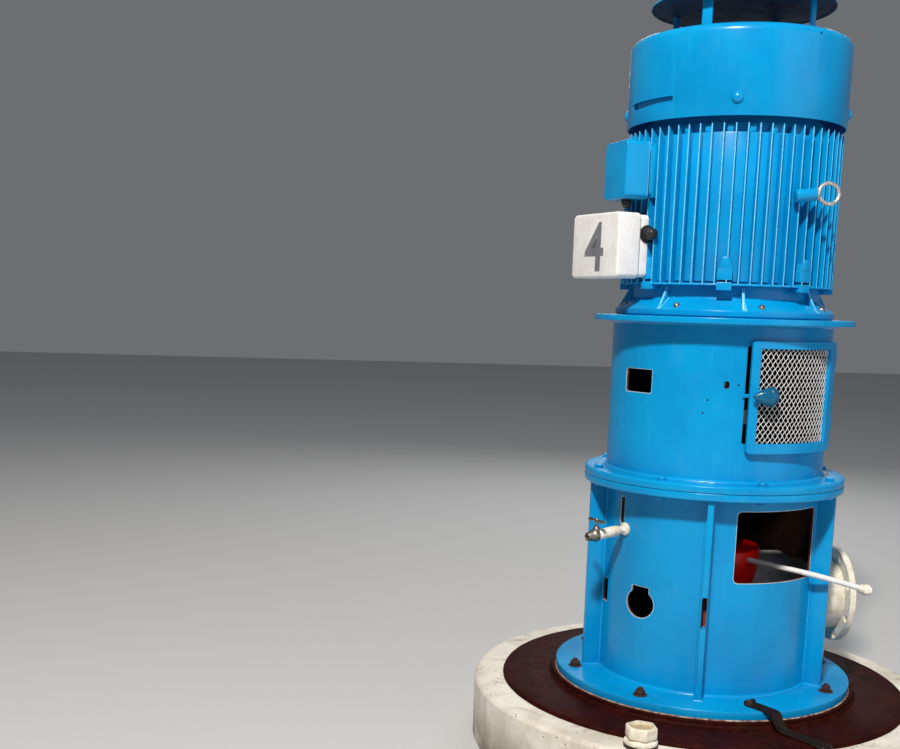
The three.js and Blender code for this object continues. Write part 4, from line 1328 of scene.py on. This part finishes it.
def make_discharge_flange():
    low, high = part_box("discharge_flange")
    inner, outer = NOZZLE_RADIUS + 0.3, (high.z - low.z) / 2 / MM
    back, front = low.x / MM, high.x / MM
    flange = turned("loose_discharge_flange", ring_outline(inner, outer, back, front, 2, 2), 96)
    hole = disc("cutter", FLANGE_HOLES.radius, back - 5, front + 5, 24)
    hole.location = at(180 / FLANGE_HOLES.count, FLANGE_HOLES.circle, 0)
    cut(flange, ring_of(apply_place(hole), FLANGE_HOLES.count))
    turn(soften(flange, 1, 2, 50), y=90)
    finish(shift(flange, z=NOZZLE_HEIGHT), CREAM_PAINT, "discharge_flange")
    start, end = NOZZLE_WELD
    weld = turned("nozzle_weld", [
        (inner, start), (NOZZLE_RADIUS + 9, start), (NOZZLE_RADIUS + 8, end - 6), (inner, end),
    ], 96)
    shift(turn(roughen(weld, 0.5, 6), y=90), z=NOZZLE_HEIGHT)
    finish(cut(weld, disc("cutter", BARREL_RADIUS - 3, 400, 800, 96)), ENAMEL, smooth=60)


make_bend()
make_discharge_flange()
print("flange holes:", FLANGE_HOLES.count)

# %% [markdown]
# The shaft comes up through a red housing that holds its packing. A gland ring presses the packing
# down with four studs, and higher up two halves of a bolted coupling join the pump's shaft to the
# motor's.

# %% Housing, shaft and coupling
HOUSING_RADIUS = 200
COUPLING = Sizes(hub=78, bore=46, bolts=(6, 10, 98), across=22, thick=13)


def make_housing():
    low, top = levels("stuffing_box_housing")
    shelf = top - 44
    housing = turned("packing_housing", [
        (0, low), (150, low), (150, 600), (HOUSING_RADIUS, 640), (HOUSING_RADIUS, shelf - 4),
        (HOUSING_RADIUS - 4, shelf), (105, shelf), (103, shelf + 14), (95, shelf + 16),
        (95, top - 3), (92, top), (0, top),
    ], 120)
    soften(housing, 1.5, 2, 20)
    # Faces above the shelf are painted near black as shade, and so are the gland nuts.
    edge = (shelf + 1) * MM
    coats = [HOUSING_RED, PAINTED_SHADE_DARK]
    finish(housing, coats, "stuffing_box_housing", rule=lambda face: face.center.z > edge)
    finish(bolt_circle("gland_nuts", 4, -70, 74, top, 17, 10, stud=22), PAINTED_SHADE_DARK)


def make_shaft():
    radius, (low, high) = reach("pump_shaft"), levels("pump_shaft")
    wide = radius + 9
    shaft = turned("line_shaft", [
        (0, low), (wide, low), (wide, low + 20), (radius, low + 22), (radius, high), (0, high),
    ], 64)
    finish(soften(shaft, 1), DULL_STEEL, "pump_shaft")


def make_coupling():
    radius, (low, high) = reach("shaft_coupling"), levels("shaft_coupling")
    middle, hub, bore, groove = (low + high) / 2, COUPLING.hub, COUPLING.bore, radius - 3
    sizes = COUPLING.across, COUPLING.thick
    coupling = turned("bolted_coupling", [
        (bore, low), (hub, low), (hub, middle - 30), (radius, middle - 26), (radius, middle - 1),
        (groove, middle - 1), (groove, middle + 1), (radius, middle + 1), (radius, middle + 26),
        (hub, middle + 30), (hub, high), (bore, high),
    ], 80)
    heads = bolt_circle("coupling_bolts", *COUPLING.bolts, middle + 27, *sizes)
    nuts = bolt_circle("coupling_nuts", *COUPLING.bolts, middle - 27, *sizes, down=True, stud=6)
    finish(join(soften(coupling, 1.5), heads, nuts), PRIMER_GREY, "shaft_coupling")


make_housing()
make_shaft()
make_coupling()
print("housing, shaft and coupling made")

# %% [markdown]
# Leaked water drips off through a small white pipe. Its route is a few points smoothed by a curve
# that passes through them, and the curve is given a round section and turned into a mesh.

# %% Leak-off pipe
PIPE_RADIUS = 10.5
PIPE_ROUTE = [(-57, 195, 768), (-51, 300, 759), (-46.5, 404, 749), (-41, 500, 729), (-37, 598, 705)]
UNION_BACK = 14
UNION = [(0, 0), (16, 0), (17, 8), (15, 12), (15, 41), (10, 44), (8, 44), (8, 20), (0, 20)]


def make_pipe():
    points = [at(*point) for point in PIPE_ROUTE]
    pipe = primitive(bpy.ops.curve.primitive_bezier_curve_add, "small_white_pipe")
    bpy.ops.object.mode_set(mode="EDIT")
    bpy.ops.curve.select_all(action="SELECT")
    bpy.ops.curve.subdivide(number_cuts=len(points) - 2)
    leave()
    for knot, point in zip(pipe.data.splines[0].bezier_points, points):
        knot.co = point
        knot.handle_left_type = knot.handle_right_type = "AUTO"
    pipe.data.resolution_u = 10
    pipe.data.bevel_depth = PIPE_RADIUS * MM
    pipe.data.bevel_resolution = 8
    pipe.data.use_fill_caps = True
    finish(converted(), WHITE_ENAMEL, "leak_off_pipe")
    way = (points[-1] - points[-2]).normalized()
    union = turned("union_ring", UNION, 36)
    nut = shift(bolt("union_nut", 36, 18, washer=2, lip=0.9), z=13)
    join(soften(union, 0.8), nut)
    union.rotation_mode = "QUATERNION"
    union.rotation_quaternion = way.to_track_quat("Z", "Y")
    union.location = points[-1] - way * UNION_BACK * MM
    finish(union, CREAM_PAINT, "leak_off_union")


make_pipe()
print("pipe made")

# %% [markdown]
# The drain cock is a stack of turned steel: a flanged nipple, a six-sided body and a T-handle on a
# stem, all on the outward line at its bearing. The heights in an outline are distances out from the
# barrel.

# %% Drain cock
COCK = Sizes(bearing=-156, height=882, stem_at=136, rise=-6, droop=14, cream_to=127)
NIPPLE = [
    (0, -3), (24, -3), (25, 6), (21, 12), (14, 14), (13, 26), (17, 34), (20, 48), (20, 72), (19, 90),
    (19, 97), (0, 97),
]
BODY = [
    (0, 96), (19, 96), (20, 108), (19, 122), (15, 126), (18, 130), (24, 134), (24, 148), (19, 156),
    (15, 178), (11, 178), (11, 160), (0, 160),
]
BONNET = [(0, 0), (14, 0), (14, 24), (11, 28), (8, 34), (0, 34)]
STEM = [(0, 34), (6, 34), (6, 60), (4, 63), (0, 63)]
BAR = [(0, -46), (5, -46), (7, -42), (7, -30), (5, -22), (5, 22), (7, 30), (7, 42), (5, 46), (0, 46)]


def on_spout(obj):
    return point_out(obj, COCK.bearing, BARREL_RADIUS, COCK.height, COCK.rise)


def on_stem(obj):
    return set_out(obj, COCK.bearing, BARREL_RADIUS + COCK.stem_at, COCK.height - COCK.droop)


def make_cock():
    finish(on_spout(soften(turned("flanged_nipple", NIPPLE, 40), 1.5, 3, 15)), CREAM_PAINT, "drain_nipple")
    body = soften(turned("cock_body", BODY, 40), 1.2, 2, 20)
    creamy = {face.index for face in body.data.polygons if face.center.z < COCK.cream_to * MM}
    join(on_spout(body), on_stem(soften(turned("bonnet", BONNET, 32), 1)))
    finish(body, [DULL_STEEL, CREAM_PAINT], "drain_cock", rule=lambda face: face.index in creamy)
    stem = turned("cock_handle", STEM, 24)
    bar = turn(turned("bar", BAR, 24), x=90)
    finish(on_stem(join(soften(stem, 0.8), shift(bar, z=54))), DULL_STEEL, "drain_cock_handle")


make_cock()
print("drain cock made")

# %% [markdown]
# Two small things lie at the foot. The earth strap is a rusty steel band that comes down over the
# flange's edge and runs out across the bed. The cap on the sounding tube is cream, six-sided and
# dished, on a black rubber washer.

# %% Earth strap and sounding tube cap
STRAP = Sizes(bearing=-86.3, radius=480, heading=-60, width=50, thick=6.5, strands=5)
ROLLED_END = [(0, -22), (9, -22), (10, -18), (10, 18), (9, 22), (0, 22)]
CAP = Sizes(bearing=-120.9, radius=818, washer=58, recess=41, across=98, thick=42)


def make_strap():
    bed, ground = levels("painted_grout")[1], levels("concrete_plinth")[1]
    line = [
        (0, BASE_TOP), (104, BASE_TOP), (114, BASE_TOP - 2), (122, BASE_TOP - 12), (132, bed + 22),
        (146, bed + 8), (162, bed + 1), (330, bed + 1), (344, ground + 1), (404, ground + 1),
    ]
    outline = line + [(s + STRAP.thick * 0.8, z + STRAP.thick) for s, z in reversed(line)]
    strap = soften(web("rusty_earth_strap", outline, STRAP.width), 1.2, 2)
    parts = []
    for i in range(STRAP.strands):
        raised = web("strand", [(s + 0.4, z + 2.2) for s, z in outline], 3.4)
        parts.append(shift(soften(raised, 1.2, 2), 0, (i - 2) * STRAP.width / STRAP.strands, 0))
    parts.append(shift(turn(turned("rolled_end", ROLLED_END, 24), x=90), 4, 0, BASE_TOP + 9))
    set_out(join(strap, *parts), STRAP.bearing, STRAP.radius, 0, STRAP.heading)
    finish(roughen(strap, 0.5, 4), STRAP_STEEL, "earth_strap")
    lug_bolt = bolt("strap_bolt", 19, 11, washer=3, stud=4)
    finish(set_out(lug_bolt, STRAP.bearing - 1, STRAP.radius + 24, BASE_TOP + 7), RUST)


def make_cap():
    low = levels("sounding_tube_cap")[0]
    washer = soften(disc("rubber_washer", CAP.washer, low, low + 13, 64), 3, 3)
    ring = soften(turned("cap_ring", [
        (0, low + 13), (57, low + 13), (57, low + 25), (47, low + 28), (43, low + 30), (43, low + 34),
        (0, low + 34),
    ], 64), 2, 3)
    cap = shift(bolt("cap_head", CAP.across, CAP.thick, washer=0.5, lip=0.8), z=low + 32)
    dish = [(0, low + 62), (CAP.recess, low + 62), (CAP.recess + 2, low + 90), (0, low + 90)]
    cut(cap, turned("cutter", dish, 48))
    floor = disc("recess_floor", CAP.recess, low + 60, low + 63, 48)
    join(ring, cap)
    for piece in (floor, washer, ring):
        piece.location = at(CAP.bearing, CAP.radius, 0)
    finish(floor, OLD_BEIGE)
    finish(washer, BLACK_NYLON)
    finish(ring, CREAM_PAINT, "sounding_tube_cap", smooth=40)


make_strap()
make_cap()
print("strap and cap made")

# %% [markdown]
# The pump stands on a plain pale floor in studio light. A strong warm lamp stands high, to the left of
# the camera, where the sun stood. It throws the lugs' and flanges' shadows down and to the right. A
# weak lamp fills the right side and one behind draws the outline.

# %% Floor and light
FLOOR_SIZE = 60
KEY = Sizes(name="key_lamp", bearing=-115.5, away=6500, height=7900, size=0.7, power=1090, colour="fff8f0")
FILL = Sizes(name="fill_lamp", bearing=-46, away=7000, height=2600, size=6, power=105, colour="eef4ff")
RIM = Sizes(name="rim_lamp", bearing=73, away=6800, height=5000, size=3, power=150, colour="ffffff")
SKY_COLOUR, SKY_STRENGTH = "e6ebf2", 0.19
AIM = Vector((0, 0, 1.3))


def make_lamp(lamp):
    bpy.ops.object.light_add(type="AREA", location=at(lamp.bearing, lamp.away, lamp.height))
    made = bpy.context.object
    made.name = lamp.name
    made.data.size = lamp.size
    made.data.energy = lamp.power
    made.data.color = linear(lamp.colour)[:3]
    made.rotation_euler = (AIM - made.location).to_track_quat("-Z", "Y").to_euler()


def make_studio():
    floor = primitive(bpy.ops.mesh.primitive_plane_add, "studio_floor", size=FLOOR_SIZE)
    floor.data.materials.append(Look("pale_studio_floor").give(Base_Color="c2c3c4", Roughness=0.9))
    for lamp in (KEY, FILL, RIM):
        make_lamp(lamp)
    world = bpy.data.worlds.new("studio_world")
    bpy.context.scene.world = world
    world.use_nodes = True
    sky = world.node_tree.nodes["Background"]
    sky.inputs["Color"].default_value = linear(SKY_COLOUR)
    sky.inputs["Strength"].default_value = SKY_STRENGTH
    bpy.context.scene.view_settings.view_transform = "Standard"


make_studio()
print("floor and three lamps made")
